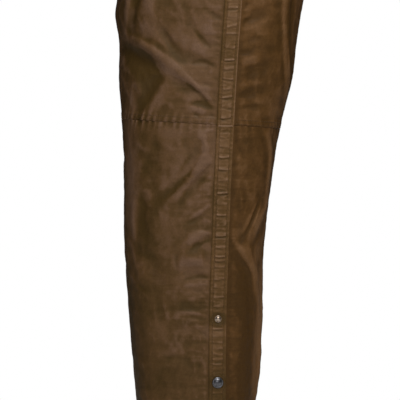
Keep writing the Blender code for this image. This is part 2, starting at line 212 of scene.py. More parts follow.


# Where the wax lies thick and dark, or (below nought) is rubbed thin and pale; among them painted shade in
# the fold valleys and along the left contour, and painted highlights near the right contour
WAX_AND_LIGHT_PATCHES = seen_rows(
    Patch,
    outer=(
        (-90, 556, 19, 22, 3.0), (-86, 528, 10, 22, 1.6), (-58, 548, 9, 8, -1.6), (-40, 534, 12, 8, -0.8),
        (-16, 512, 12, 8, -1.6), (-64, 520, 6, 18, -0.6), (-46, 588, 8, 8, -0.4), (-70, 600, 14, 10, -0.9),
        (-104, 572, 10, 30, 0.8), (-92, 590, 12, 7, 1.2), (-82, 598, 12, 9, -1.2), (-99, 606, 6, 14, -1.4),
        (-10, 184, 12, 6, 1.0), (60, 338, 6, 16, 1.6), (43, 330, 5, 10, -1.6), (-48, 396, 8, 6, -1.2),
        (-18, 293, 14, 5, -1.4), (-68, 536, 12, 18, 1.8), (-80, 506, 9, 20, 0.8), (-91, 625, 8, 40, 1.0),
        (-4, 524, 12, 14, -0.7), (-12, 600, 22, 26, -0.7), (-40, 512, 22, 12, 0.3), (-8, 474, 26, 14, -0.7),
        (-48, 464, 12, 10, -0.5), (-66, 456, 8, 16, 0.8), (-85, 462, 8, 18, 1.0), (-82, 410, 6, 20, 1.2),
        (-66, 366, 8, 10, 1.0), (-2, 426, 12, 14, -0.8), (-42, 432, 20, 16, -0.4), (-72, 346, 8, 22, 1.8),
        (-56, 356, 7, 16, -1.2), (-55, 372, 9, 8, 1.8), (-78, 384, 7, 16, -1.2), (-8, 352, 20, 10, -0.8),
        (-14, 372, 18, 8, -0.8), (-2, 330, 12, 12, -0.8), (-86, 346, 7, 26, 0.8), (8, 432, 10, 18, -2.0),
        (6, 470, 10, 10, -1.5), (-100, 406, 13, 60, -2.2), (-97, 505, 6, 16, -1.2),
        (-56, 320, 14, 16, -0.5), (-16, 285, 22, 6, -1.8), (-14, 306, 14, 6, 1.2), (-48, 286, 8, 18, 1.2),
        (-10, 256, 16, 6, -1.0), (-84, 240, 14, 60, 1.0), (-97, 200, 9, 90, 2.4), (-74, 308, 10, 8, 0.8),
        (-88, 100, 9, 70, 2.4), (-20, 214, 18, 4, 1.9), (-22, 233, 16, 4, 1.3), (2, 202, 8, 12, -1.2),
        (-28, 204, 10, 12, -0.8), (-52, 172, 18, 7, -1.0), (-36, 182, 26, 26, -0.3),
        (-50, 130, 50, 34, 0.9), (5, 592, 11, 22, -1.2), (-12, 578, 16, 8, -0.9), (-96, 628, 6, 14, -0.8),
        (-36, 466, 30, 9, -0.5), (48, 262, 13, 36, 2.6), (54, 160, 14, 100, 3.4), (24, 300, 16, 16, 0.7),
        (46, 372, 7, 12, 1.4), (22, 140, 10, 70, 0.6), (-68, 178, 14, 12, 0.9), (-46, 155, 22, 8, 0.8),
        (68, 300, 8, 16, -2.0), (84, 400, 8, 50, -1.4), (78, 290, 6, 60, -1.6), (74, 180, 6, 80, -1.6),
        (64, 340, 14, 20, -0.6), (70, 456, 12, 12, 0.6), (92, 500, 14, 24, -0.6), (78, 512, 18, 7, 0.5),
        (72, 472, 20, 8, 1.2), (70, 539, 22, 6, 2.0), (60, 556, 18, 6, -1.0), (57, 570, 10, 7, 1.6),
        (57, 449, 10, 10, 1.4), (80, 482, 8, 8, 1.4), (84, 574, 12, 14, 2.2), (62, 496, 20, 6, 0.8),
        (60, 575, 20, 7, 0.5), (112, 620, 7, 60, 1.4), (116, 560, 7, 30, 1.2), (52, 604, 16, 16, -0.3),
    ),
    inner=(
        (-60, 560, 36, 60, 0.6), (30, 600, 40, 50, -0.5), (70, 470, 26, 30, 0.7), (-20, 400, 40, 60, -0.4),
        (20, 200, 34, 80, 0.5), (-50, 150, 26, 60, -0.3),
    ),
    front=(
        (20, 470, 40, 70, -0.5), (10, 200, 30, 90, 0.5),
    ),
    back=(
        (20, 620, 40, 60, -0.3), (10, 460, 40, 30, 0.7), (0, 250, 30, 90, -0.3),
    ),
)


# Lines along creases: dark ones are painted shade in troughs and on walls turned from the light, and pale
# ones (below nought) are rubbed wear and painted highlights on ridges, with a painted highlight down the
# calf's contour
CREASE_WAX_AND_LIGHT = seen_rows(
    Crease,
    outer=(
        ((-12, 438), (-24, 416), (-50, 398), 4.5, -1.8, 0), ((-14, 420), (-30, 398), (-58, 370), 4, 1.8, 0),
        ((2, 424), (-12, 404), (-28, 388), 4, -1.6, 0), ((110, 690), (110, 590), (110, 512), 4.5, 5, 0),
        ((-88, 571), (-58, 551), (-22, 526), 4.5, -2.4, 0),
        ((-74, 588), (-52, 572), (-22, 552), 4.5, 1.2, 0),
        ((103.5, 690), (103, 590), (104, 512), 1.6, -2.6, 0.2),
        ((85, 466), (84, 420), (80, 376), 1.8, -2.4, 0.3),
        ((88.5, 466), (87.5, 420), (83, 376), 1.6, 1.6, 0.2),
        ((77, 371), (64, 340), (50, 314), 1.8, -1.8, 0.3),
        ((67, 373), (56, 350), (46, 327), 1.6, -1.2, 0.3), ((72, 371), (60, 345), (48, 321), 2, 1.6, 0.2),
        ((40, 322), (54, 298), (70, 260), 3.6, -3.8, 0.2),
        ((71, 264), (74, 215), (71, 150), 2.8, -2.4, 0.2), ((71, 162), (68, 110), (62, 50), 3, -2, 0.2),
        ((85, 366), (79, 336), (74, 310), 4, -1.4, 0), ((-16, 602), (-3, 587), (8, 574), 3.5, 2.4, 0),
        ((-20, 554), (-4, 559), (16, 550), 3, 1.8, 0), ((-32, 298), (-18, 304), (-4, 298), 4, 2.6, 0),
        ((-8, 318), (2, 314), (10, 308), 4, -2, 0), ((44, 542), (62, 552), (84, 559), 5, 1.8, 0),
        ((42, 509), (52, 520), (66, 524), 4, 1.6, 0), ((-20, 503), (-4, 503), (10, 495), 3.5, 3, 0),
        ((-30, 536), (-14, 521), (12, 493), 1.8, 2, 0.3),
        ((-30, 548), (-8, 526), (13, 500), 1.6, -1.8, 0.3),
        ((8, 372), (-6, 361), (-22, 352), 1.6, -1.8, 0.3),
        ((12, 334), (-10, 328), (-24, 318), 2.4, -2, 0.2),
        ((12, 326), (-8, 317), (-22, 308), 2.2, 1.8, 0.2),
        ((8, 274), (-12, 274), (-34, 268), 2.2, 1.3, 0.3), ((-42, 308), (-42, 294), (-38, 284), 3, -1.4, 0),
        ((10, 263), (-8, 264), (-30, 261), 2, -0.6, 0.3), ((47, 610), (56, 614), (68, 619), 2.4, 2, 0.2),
        ((46, 600), (60, 604), (80, 614), 2.4, -1.4, 0.2),
        ((46, 544), (60, 548), (78, 556), 1.8, -1.8, 0.3),
    ),
    back=(
        ((-34, 300), (-30, 215), (-28, 90), 9, -4, 0),
    ),
)


def knee_seam(turn):
    return KNEE_SEAM - KNEE_SEAM_DROP * np.sin(turn) - KNEE_SEAM_DIP * np.cos(turn)


def top_edge(turn):
    return TOP_EDGE + TOP_EDGE_RISE * np.cos(turn)


def eased(share):
    share = np.clip(share, 0, 1)
    return share * share * (3 - 2 * share)


def hump(off, reach):
    """A soft swell: 1 at its middle, and soon gone past its reach."""
    return np.exp(-((off / reach) ** 2))


def mirrored(half):
    """Places to both sides of a middle, from those to one side."""
    half = np.array(half)
    return np.concatenate([-half[:0:-1], half])


PLACKET_LEVELS = np.linspace(SECTIONS[0].height, SECTIONS[-1].height, 60)
PLACKET_TURNS = np.array([turn_seen("outer", column("placket", level), level) for level in PLACKET_LEVELS])

# ---------------------------------------------------------------- folds and creases

# A trough's relief is below nought.
FOLDS = seen_rows(
    Crease,
    outer=(
        # thigh, outer side, in front of the placket
        ((-112, 580), (-86, 563), (-65, 543), 12, -7), ((-64, 542), (-75, 521), (-92, 490), 11, -5),
        ((-104, 556), (-90, 548), (-82, 528), 12, -3), ((-104, 595), (-78, 579), (-50, 556), 7, 3.5),
        ((-56, 560), (-26, 537), (13, 503), 8, 3.5), ((-44, 532), (-14, 518), (13, 490), 8, -2.2),
        ((-24, 610), (-3, 588), (18, 576), 9, -1.5), ((-34, 575), (-12, 561), (16, 552), 9, -2),
        ((-92, 690), (-73, 655), (-74, 612), 10, 3), ((-88, 705), (-91, 645), (-101, 594), 8, -4),
        # thigh, outer side, behind the placket
        ((52, 608), (64, 617), (84, 625), 9, -3), ((48, 543), (66, 549), (90, 556), 9, -2.5),
        ((48, 510), (64, 518), (86, 526), 9, -2), ((108, 720), (108, 600), (106, 505), 8, 3),
        # calf, outer side, behind the placket
        ((80, 470), (86, 435), (81, 376), 7, 2.5), ((46, 350), (44, 322), (52, 292), 10, -2),
        ((45, 317), (60, 292), (71, 214), 9, 4), ((84, 380), (68, 342), (58, 314), 8, 2.5),
        ((71, 214), (68, 150), (62, 60), 9, 3),
        # shin, outer side, in front of the placket
        ((-8, 466), (0, 430), (-46, 374), 10, 3), ((12, 422), (-7, 404), (-36, 370), 8, -2.5),
        ((-16, 440), (-30, 402), (-66, 378), 8, -2.5), ((-30, 315), (-12, 325), (8, 330), 9, 2.5),
        ((-38, 290), (-20, 302), (2, 293), 10, 2.4), ((-33, 273), (-14, 280), (6, 277), 7, -1.8),
        ((-94, 316), (-82, 304), (-66, 296), 10, -1.5), ((-84, 388), (-84, 352), (-84, 318), 9, -2.5),
        ((-72, 325), (-67, 276), (-62, 226), 14, -2.5), ((-72, 462), (-66, 425), (-74, 378), 14, -2.5),
        ((-46, 222), (-24, 218), (2, 211), 10, 2),
    ),
    inner=(
        # thigh, inner side
        ((-100, 640), (-60, 610), (-10, 560), 12, 4.5), ((-96, 612), (-58, 584), (-18, 536), 11, -5),
        ((60, 650), (84, 600), (96, 540), 12, -4.5), ((20, 640), (48, 590), (66, 528), 11, 3.5),
        ((-74, 540), (-40, 512), (10, 494), 10, -3.5),
        # behind and inside the knee
        ((20, 512), (60, 500), (98, 506), 9, -4), ((30, 462), (62, 452), (92, 458), 9, -4),
        ((34, 438), (60, 426), (86, 430), 9, 3),
        # calf and shin, inner side
        ((66, 400), (58, 330), (44, 270), 11, -5), ((40, 410), (34, 330), (22, 240), 10, 3.5),
        ((-84, 420), (-64, 370), (-30, 330), 12, -3.5), ((-70, 300), (-46, 280), (-12, 274), 10, 3),
        ((-64, 272), (-40, 254), (-6, 250), 10, -3), ((48, 220), (44, 150), (34, 80), 11, -3),
        ((-58, 200), (-50, 130), (-46, 60), 13, -2.5),
    ),
)
CREASES = seen_rows(
    Crease,
    outer=(
        # thigh, outer side, in front of the placket
        ((-68, 611), (-52, 588), (-40, 565), 5, -1, 0.3),
        ((-58, 612), (-46, 584), (-21, 556), 5, -2.2, 0.1),
        ((-17, 602), (-4, 587), (8, 576), 3.5, -2, 0.35), ((-24, 604), (-12, 594), (-4, 584), 4, 1.3, 0.2),
        ((-4, 628), (12, 619), (21, 611), 3.5, -1.4, 0.3), ((-20, 553), (-4, 558), (16, 550), 4, -1.5, 0.2),
        ((-20, 538), (-5, 530), (12, 530), 3, -1.3, 0.4),
        ((-26, 531), (-12, 520), (13, 493), 2.6, -2, 0.45),
        ((-30, 551), (-14, 534), (12, 505), 2.4, -1.1, 0.4),
        ((-24, 502), (-7, 503), (10, 495), 3.2, -1.5, 0.4), ((-30, 494), (-16, 496), (0, 490), 3, 1, 0.3),
        ((-18, 492), (-12, 488), (-5, 484), 3, -1.5, 0.4), ((3, 492), (9, 488), (14, 484), 3, -1.2, 0.4),
        ((-92, 556), (-89, 530), (-85, 500), 6, 1.5, 0),
        ((-103, 672), (-104, 634), (-106, 606), 5, 1.6, 0.1),
        ((-106, 600), (-92, 592), (-60, 573), 8, -2, 0), ((-66, 578), (-34, 550), (2, 518), 6, 0.8, 0.1),
        ((-20, 670), (0, 652), (20, 640), 5, -1.6, 0.3), ((-80, 700), (-56, 676), (-44, 640), 7, -1.8, 0.2),
        # thigh, outer side, behind the placket
        ((46, 628), (54, 633), (64, 636), 3.5, -1.4, 0.4), ((47, 609), (55, 613), (66, 618), 4, -1.1, 0.3),
        ((43, 511), (53, 516), (70, 522), 5, -1, 0.2), ((44, 497), (60, 500), (82, 500), 4, -1.8, 0.3),
        ((46, 582), (62, 588), (78, 590), 5, -1.1, 0.3), ((46, 567), (59, 573), (76, 580), 5, -0.7, 0.1),
        ((46, 556), (59, 561), (74, 568), 4, 1.4, 0.3), ((46, 543), (61, 552), (82, 558), 9, 1.2, 0),
        ((103.5, 700), (103.5, 590), (103.5, 500), 1.8, 1.6, 0.2),
        ((113, 690), (114, 610), (112, 548), 4, -2.4, 0.2),
        # shin, outer side, in front of the placket
        ((-10, 468), (1, 446), (-4, 428), 4.5, 1.6, 0.2),
        ((-2, 430), (-25, 401), (-60, 364), 4.5, 1.7, 0.2),
        ((13, 422), (-7, 406), (-32, 374), 4, -1.9, 0.3), ((14, 432), (4, 426), (-6, 414), 4, 1.4, 0.2),
        ((10, 374), (-3, 363), (-23, 349), 2.8, 1.5, 0.4), ((4, 362), (-12, 350), (-27, 346), 3, -2, 0.4),
        ((13, 336), (-10, 329), (-24, 317), 3.6, 1.6, 0.3),
        ((12, 329), (-7, 319), (-22, 308), 3.2, -1.8, 0.4),
        ((6, 273), (-12, 274), (-35, 268), 2.8, -1.5, 0.45),
        ((8, 262), (-8, 265), (-32, 262), 2.4, 1.1, 0.3),
        ((-36, 306), (-39, 290), (-34, 276), 4, -1.8, 0.3), ((-28, 293), (-15, 297), (0, 293), 7, 1.5, 0.1),
        ((-38, 227), (-18, 227), (2, 223), 3, 1.4, 0.4), ((-36, 221), (-18, 221), (2, 217), 3, -1.4, 0.4),
        ((6, 194), (-3, 199), (-14, 208), 3, -1.4, 0.4), ((4, 249), (-7, 255), (-19, 257), 3, -1.3, 0.4),
        ((-95, 384), (-96, 350), (-94, 318), 5, 1.5, 0.1), ((-89, 268), (-85, 260), (-78, 253), 3, -1, 0.4),
        ((-73, 442), (-78, 425), (-78, 405), 8, -1.5, 0.1),
        ((-62, 160), (-40, 168), (-14, 162), 5, -1.2, 0.3),
        # calf, outer side, behind the placket
        ((79, 468), (85, 435), (79, 374), 2.8, 1.6, 0.3), ((76, 377), (66, 352), (54, 323), 2.6, 1.9, 0.35),
        ((69, 377), (59, 352), (49, 331), 2.4, 1.4, 0.35), ((73, 374), (62, 350), (52, 327), 2, -1, 0.3),
        ((47, 392), (48, 375), (48, 358), 3, 1.1, 0.3), ((40, 320), (54, 298), (69, 268), 4.5, 2.8, 0.25),
        ((67, 280), (73, 250), (71, 196), 3.2, 2.2, 0.25), ((71, 206), (68, 150), (64, 80), 4, 1.6, 0.2),
        ((46, 300), (57, 276), (59, 140), 6, -1.8, 0.1), ((40, 450), (48, 440), (52, 424), 4, -1.1, 0.3),
    ),
    back=(
        # the back, from thigh to calf
        ((-24, 296), (-18, 215), (-16, 110), 9, 3, 0.1), ((-10, 690), (20, 630), (52, 590), 9, -2.6, 0.2),
        ((10, 660), (40, 612), (72, 570), 8, 2.2, 0.2), ((14, 560), (40, 545), (76, 552), 6, -2.2, 0.3),
        ((4, 520), (30, 508), (66, 514), 5, -1.9, 0.4), ((6, 460), (34, 450), (68, 458), 5, -2.2, 0.4),
        ((2, 436), (30, 424), (60, 430), 5, -1.6, 0.4), ((16, 420), (30, 370), (26, 312), 7, 2.2, 0.2),
        ((-12, 400), (-4, 330), (6, 250), 8, -1.8, 0.1), ((22, 300), (26, 200), (18, 96), 8, 2, 0.1),
        ((-14, 240), (-6, 150), (-10, 50), 8, -1.6, 0.1),
    ),
    front=(
        # the front, from thigh to shin
        ((0, 690), (30, 664), (66, 655), 8, -2.2, 0.2), ((6, 560), (34, 546), (62, 556), 7, -2.2, 0.3),
        ((-6, 530), (25, 518), (58, 528), 6, -2, 0.3), ((-34, 444), (-6, 432), (26, 440), 6, -1.2, 0.3),
        ((8, 420), (24, 380), (30, 330), 8, 1.8, 0.1), ((-30, 302), (2, 288), (34, 290), 6, -1.2, 0.3),
        ((2, 262), (22, 240), (44, 236), 6, -1.4, 0.3), ((-24, 170), (4, 158), (34, 164), 6, -1.1, 0.3),
        ((10, 140), (16, 90), (14, 40), 8, 1.4, 0.1),
    ),
    inner=(
        # thigh, inner side
        ((-84, 650), (-52, 622), (-10, 596), 5, 1.8, 0.3),
        ((-80, 606), (-50, 580), (-14, 548), 4.5, -2.4, 0.35),
        ((-60, 560), (-30, 540), (8, 522), 4, -1.8, 0.4), ((-92, 556), (-76, 520), (-70, 492), 6, 1.8, 0.2),
        ((14, 620), (34, 574), (46, 516), 4.5, -2, 0.3), ((50, 610), (70, 574), (84, 530), 4, 1.8, 0.35),
        ((30, 700), (46, 672), (50, 640), 6, -1.6, 0.2), ((-40, 712), (-28, 690), (-24, 660), 7, 1.6, 0.1),
        # knee, calf and shin, inner side
        ((24, 508), (52, 498), (84, 502), 3.5, -1.9, 0.45),
        ((30, 466), (54, 456), (80, 462), 3.5, -2, 0.45),
        ((28, 446), (50, 434), (74, 436), 3.5, -1.5, 0.45),
        ((-50, 470), (-34, 440), (-30, 404), 5, 1.6, 0.2), ((58, 396), (48, 340), (38, 284), 4, 2.2, 0.35),
        ((44, 340), (30, 296), (12, 276), 4, -1.9, 0.35), ((-70, 400), (-48, 372), (-16, 348), 4.5, 2, 0.3),
        ((-76, 346), (-50, 326), (-20, 320), 4, -1.5, 0.4),
        ((-60, 262), (-34, 248), (-4, 250), 3.5, -1.6, 0.4),
        ((-40, 210), (-16, 200), (16, 206), 3.5, -1.3, 0.4), ((34, 240), (30, 160), (26, 70), 5, 1.8, 0.2),
        ((-30, 150), (-6, 140), (18, 146), 4, -1.2, 0.4), ((-66, 110), (-54, 70), (-50, 30), 6, 1.4, 0.2),
    ),
)
PATH_STEPS = 8


def crease_line(crease):
    """Points of the smooth leg along a crease, on a curve through its three points."""
    share = np.linspace(0, 1, PATH_STEPS + 1)[:, None]
    seen = (crease.start, crease.middle, crease.end)
    a, b, c = [np.array([turn_seen(crease.side, place, height), height]) for place, height in seen]
    line = a * (1 - share) * (1 - 2 * share) + b * 4 * share * (1 - share) + c * share * (2 * share - 1)
    return section(line[:, 0], line[:, 1])


def creased(at, creases, end_share):
    """How far creases lift points of the smooth leg. At a crease's ends end_share of half a turn is left."""
    lift = np.zeros(at.shape[:-1])
    for crease in creases:
        line = crease_line(crease)
        reach = 3 * crease.width
        near = np.all((at > line.min(axis=0) - reach) & (at < line.max(axis=0) + reach), axis=-1)
        points = at[near]
        nearest = np.full(len(points), np.inf)
        along = np.zeros(len(points))
        for step, (start, end) in enumerate(zip(line, line[1:])):
            way = end - start
            share = np.clip((points - start) @ way / (way @ way), 0, 1)
            away = np.linalg.norm(points - start - share[:, None] * way, axis=-1)
            along = np.where(away < nearest, (step + share) / PATH_STEPS, along)
            nearest = np.minimum(away, nearest)
        off = nearest / crease.width
        profile = (1 - crease.crisp) * np.exp(-(off**2)) + crease.crisp * np.exp(-1.7 * off)
        fades = np.sin(math.pi * (end_share + (1 - 2 * end_share) * along))
        lift[near] += crease.relief * profile * fades * eased((3 - off) * 2)
    return lift


def wax_and_painted_light_at(at):
    """How thick the wax lies at points of the smooth leg, with painted shade and highlights, from the listed
    patches and rubbed lines.
    """
    wax = creased(at, CREASE_WAX_AND_LIGHT, 0)
    for patch in WAX_AND_LIGHT_PATCHES:
        turn = turn_seen(patch.side, patch.across, patch.height)
        middle = section(np.array([turn]), np.array([patch.height]))[0]
        off = (at - middle) / [patch.wide, patch.wide, patch.tall]
        wax += patch.wax * np.exp(-np.sum(off**2, axis=-1))
    return wax


def puckered(along, spacing, width, seed):
    """An uneven row of small ridges, 0 to 1, at places along a seam."""
    uneven = np.random.default_rng(seed)
    end = float(np.max(along)) + spacing
    steps = spacing * uneven.uniform(0.55, 1.45, int(end / spacing * 2) + 4)
    crests = np.cumsum(steps) - spacing * uneven.uniform()
    sizes = uneven.uniform(0.25, 1.0, len(crests))
    widths = width * uneven.uniform(0.7, 1.4, len(crests))
    table = np.arange(-spacing, end + spacing, 0.5)
    ridges = sizes[:, None] * hump(table - crests[:, None], widths[:, None])
    return np.interp(along, table, ridges.sum(axis=0))


# Fine uneven crumples: height, size, stretch up the leg and lean
Crumple = namedtuple("Crumple", "height size stretch lean")
COARSE_CRUMPLE = Crumple(0.34, 17, 1.7, 0.5)
FINE_CRUMPLE = Crumple(0.16, 7.5, 1.4, -0.6)
FRONT_PULLS = Crumple(0.75, 34, 0.17, 0.12)
BACK_PULLS = Crumple(0.5, 34, 0.17, 0.12)
PLACKET_PUFFS = Crumple(0.32, 22, 0.24, 0.1)
PLACKET_CRUMPLE = Crumple(0.12, 8, 0.7, -0.5)


def crumpled(at, crumple):
    """The lift of fine crumples: ridges where a noise crosses nought."""
    flat = at.reshape(-1, 3)
    leaned = flat * [1 / crumple.size, 1 / crumple.size, 1 / (crumple.size * crumple.stretch)]
    leaned[:, 2] += flat[:, 0] * crumple.lean / crumple.size
    ridged = [1 - 4 * abs(noise.noise(Vector(point))) for point in leaned]
    return crumple.height * np.clip(np.reshape(ridged, at.shape[:-1]), -1, 1)


# ---------------------------------------------------------------- cloth walls

Cloth = namedtuple("Cloth", "points normals along heights")


def softened(field, times):
    """A field of values on a grid, evened out with its neighbours."""
    for _ in range(times):
        padded = np.pad(field, 1, mode="edge")
        sides = padded[1:-1, :-2] + padded[1:-1, 2:] + padded[:-2, 1:-1] + padded[2:, 1:-1]
        field = field / 2 + sides / 8
    return field


def grid_normals(points, outwards):
    """Normals of a grid of points, on the side where a grid of rough directions points."""
    normal = np.cross(np.gradient(points, axis=1), np.gradient(points, axis=0))
    normal /= np.linalg.norm(normal, axis=-1, keepdims=True)
    facing = np.sign(np.sum(normal * outwards, axis=-1, keepdims=True))
    return normal * facing


def as_piece(name, bm, finish):
    """A piece from a bmesh, which is done with after it."""
    mesh = bpy.data.meshes.new(name)
    bm.to_mesh(mesh)
    bm.free()
    mesh.materials.append(finish)
    piece = bpy.data.objects.new(name, mesh)
    bpy.context.scene.collection.objects.link(piece)
    return piece


def smoothed(piece):
    """Shades a piece smooth apart from its sharp edges."""
    piece.data.shade_smooth()
    piece.data.set_sharp_from_angle(angle=SHARP_ANGLE)
    return piece


def cloth_wall(name, outer, inner, along, heights, crest, wax, finish):
    """A closed wall between two grids of points, given rows first.

    Its map is the cloth's own length and width in metres. Its crest attribute is 1 on a rubbed ridge and -1
    in a trough; the finish paints ridges pale with rubbed wear and painted highlights, and troughs dark as
    painted shade.
    Its other attribute is above nought for thick wax and painted shade, below nought for thin wax and
    painted highlights.
    """
    rows, columns = outer.shape[0] - 1, outer.shape[1] - 1
    bm = bmesh.new()
    rims = []
    for points in (outer, inner):
        grid = bmesh.ops.create_grid(bm, x_segments=columns, y_segments=rows, size=1)["verts"]
        for vert, point in zip(grid, ((points + PLUMB_LINE) * MM).reshape(-1, 3)):
            vert.co = point
        own = set(grid)
        rims += [edge for edge in bm.edges if edge.is_boundary and edge.verts[0] in own]
    bmesh.ops.bridge_loops(bm, edges=rims)
    bmesh.ops.recalc_face_normals(bm, faces=bm.faces)
    piece = as_piece(name, bm, finish)
    mesh = piece.data
    laid = np.tile(np.stack([along, heights], axis=-1).reshape(-1, 2) * MM, (2, 1))
    corners = np.zeros(len(mesh.loops), np.int32)
    mesh.loops.foreach_get("vertex_index", corners)
    mesh.uv_layers.new(name="cloth").data.foreach_set("uv", laid[corners].astype(np.float32).ravel())
    for field, values in (("crest", crest), ("wax", wax)):
        both = np.concatenate([values.ravel(), np.zeros(values.size)])
        mesh.attributes.new(field, "FLOAT", "POINT").data.foreach_set("value", both.astype(np.float32))
    return smoothed(piece)


CREST_SPREAD = 60
CREST_LIFT = 0.8


def crest_of(lift):
    """Where a lift stands over the cloth around it, -1 to 1."""
    return np.clip((lift - softened(lift, CREST_SPREAD)) / CREST_LIFT, -1, 1)


# Distances of a grid's lines from a lapped edge
LAP_STEPS = np.array(
    [0, 0.25, 0.6, 1.1, 1.6, 2.0, 2.4, 3.0, 4.0, 5.2, 6.4, 7.0, 7.4, 7.8, 8.4, 8.8, 9.2, 9.8, 11]
)


def edge_steps(length, fine):
    """Places from 0 to a length, close together at the ends named in fine."""
    start = LAP_STEPS if "start" in fine else np.array([0.0])
    end = length - LAP_STEPS[::-1] if "end" in fine else np.array([float(length)])
    between = end[0] - start[-1]
    count = max(int(round(between / GRID_STEP)), 2)
    middle = np.linspace(start[-1], end[0], count + 1)[1:-1]
    return np.concatenate([start, middle, end])


def lapped(off):
    """The height of a felled seam's lap, with its two sewn grooves, at distances from its edge."""
    proud = LAP_PROUD * (1 - eased((off - LAP_DEPTH + 2) / 4)) * eased((off + 0.5) / 1.4)
    grooves = sum(LAP_GROOVE * hump(off - row, 0.75) for row in LAP_ROWS)
    return proud - np.where(off < LAP_DEPTH + 2, grooves, 0)


# About how far round the leg each panel goes, by whether it is a front one and an upper one
HALF_GIRTHS = {(True, True): 380, (True, False): 350, (False, True): 330, (False, False): 270}
GIRTH_STEPS = 300


def panel(towards_front, upper):
    """The outer face of a panel, from the side opening to the inseam and from its lower edge up."""
    way = -1 if towards_front else 1
    low_level, high_level = (KNEE_SEAM, TOP_EDGE) if upper else (0, KNEE_SEAM)
    rows = edge_steps(high_level - low_level, ("start",) if upper else ("end",)) / (high_level - low_level)
    half_girth = HALF_GIRTHS[towards_front, upper]
    columns = edge_steps(half_girth, ("end",) if towards_front else ()) / half_girth
    turns = []
    for level in low_level + rows * (high_level - low_level):
        middle = (column("front", level) + column("back", level)) / 2
        opening = turn_seen("outer", column("placket", level) + way * SEAM_GAP / 2, level)
        inseam = turn_seen("inner", middle + way * INSEAM_GAP / 2, level)
        if towards_front:
            inseam -= math.tau
        fine = np.linspace(opening, inseam, GIRTH_STEPS)
        steps = np.linalg.norm(np.diff(section(fine, np.full(GIRTH_STEPS, level)), axis=0), axis=1)
        length = np.concatenate([[0], np.cumsum(steps)])
        turns.append(np.interp(columns * length[-1], length, fine))
    turns = np.array(turns)
    if upper:
        low, high = knee_seam(turns) + SEAM_GAP / 2, top_edge(turns)
    else:
        low, high = np.zeros_like(turns), knee_seam(turns) - SEAM_GAP / 2
    heights = low + (high - low) * rows[:, None]
    at = section(turns, heights)
    along = np.cumsum(np.linalg.norm(np.diff(at, axis=1, prepend=at[:, :1]), axis=-1), axis=1)
    lift = panel_lift(at, turns, heights, along, low, high, towards_front, upper)
    outwards = section_normal(turns, heights)
    points = at + outwards * lift[..., None]
    from_edge = (high - heights) if upper else heights
    return Cloth(points, grid_normals(points, outwards), along, heights), lift, from_edge


def knee_puckers(along, off_knee, towards_front, upper):
    """The ridges that the knee seam's sewing draws up above and below it, leaning a little and soon gone."""
    leaned = along + (0.25 if upper else -0.15) * off_knee
    ridges = puckered(leaned, spacing=8.5, width=2.3, seed=31 + towards_front) - 0.35
    uneven = 0.5 + 0.65 * puckered(along, spacing=34, width=13, seed=57 + towards_front)
    return ridges * uneven * np.exp(-((off_knee / (11 if upper else 9)) ** 1.5))


def panel_lift(at, turns, heights, along, low, high, towards_front, upper):
    """How far a panel's cloth stands off the smooth leg: folds, creases, puckers at its sewing, and laps."""
    opening = section(np.interp(heights, PLACKET_LEVELS, PLACKET_TURNS), heights)
    off_opening = np.linalg.norm(at - opening, axis=-1)
    soft = eased((off_opening - PLACKET_LAP) / PLACKET_STIFFENS)
    free = eased((off_opening - PLACKET_WIDTH / 2) / 6)
    lift = creased(at, FOLDS, 0.1) * soft + creased(at, CREASES, 0) * free

    off_knee = (heights - low) if upper else (high - heights)
    off_end = (high - heights) if upper else heights
    off_inseam = along[:, -1:] - along
    shin_share = 0.45 + 0.55 * eased(0.5 - np.sin(turns)) * towards_front
    sewn = np.minimum(eased(off_knee / 14), eased(off_end / 14))
    rough = crumpled(at, COARSE_CRUMPLE) + crumpled(at, FINE_CRUMPLE)
    lift += rough * free * (0.35 + 0.65 * sewn)

    seed = 11 + 2 * towards_front + 4 * upper
    lift += 2.4 * knee_puckers(along, off_knee, towards_front, upper) * shin_share * free
    pulls = crumpled(at, FRONT_PULLS if towards_front else BACK_PULLS)
    lift += pulls * np.exp(-off_opening / 34) * free
    end_puckers = puckered(along, spacing=16, width=4.5, seed=seed) - 0.35
    lift += 0.9 * end_puckers * hump(off_end - HEM_ROW, 12) * free
    side_puckers = puckered(heights, spacing=13, width=2.6, seed=seed + 40) - 0.3
    lift += 0.9 * side_puckers * np.exp(-np.maximum(off_opening - PLACKET_WIDTH / 2, 0) / 7) * free
    inseam_puckers = puckered(heights, spacing=12, width=3.2, seed=seed + 80) - 0.3
    lift += 0.7 * inseam_puckers * np.exp(-off_inseam / 9)
    lift += 1.2 * np.sin(along / 19 + seed) * np.exp(-off_end / 22) * free

    lift -= 0.5 * hump(off_end - HEM_ROW, 0.9) * free
    if upper:
        lift += lapped(off_knee)
    if towards_front:
        lift += lapped(off_inseam)
    return lift


def panel_piece(name, towards_front, upper, finish):
    cloth, lift, from_edge = panel(towards_front, upper)
    doubled = eased((HEM_DEPTH - from_edge) / 1.5)
    thick = CLOTH + (HEM_CLOTH - CLOTH) * doubled
    inner = cloth.points - cloth.normals * thick[..., None]
    off_knee = cloth.heights - cloth.heights[:1] if upper else cloth.heights[-1:] - cloth.heights
    # Knee pucker ridges are painted pale as highlights, and the hollows between them dark as shade
    wax = wax_and_painted_light_at(cloth.points) - 2.2 * knee_puckers(cloth.along, off_knee, towards_front, upper)
    off_placket = cloth.along - PLACKET_WIDTH / 2
    # Painted shadow on the back panels beside the placket's edge; painted shade along its edge on the front
    # upper panel
    if not towards_front:
        wax += 1.1 * hump(off_placket - 2, 4)
    elif upper:
        wax += 0.7 * hump(off_placket - 0.4, 1.3)
    laid = (cloth.along, cloth.heights, crest_of(lift), wax)
    piece = cloth_wall(name, cloth.points, inner, *laid, finish)
    return piece, cloth


# ---------------------------------------------------------------- placket and underlap

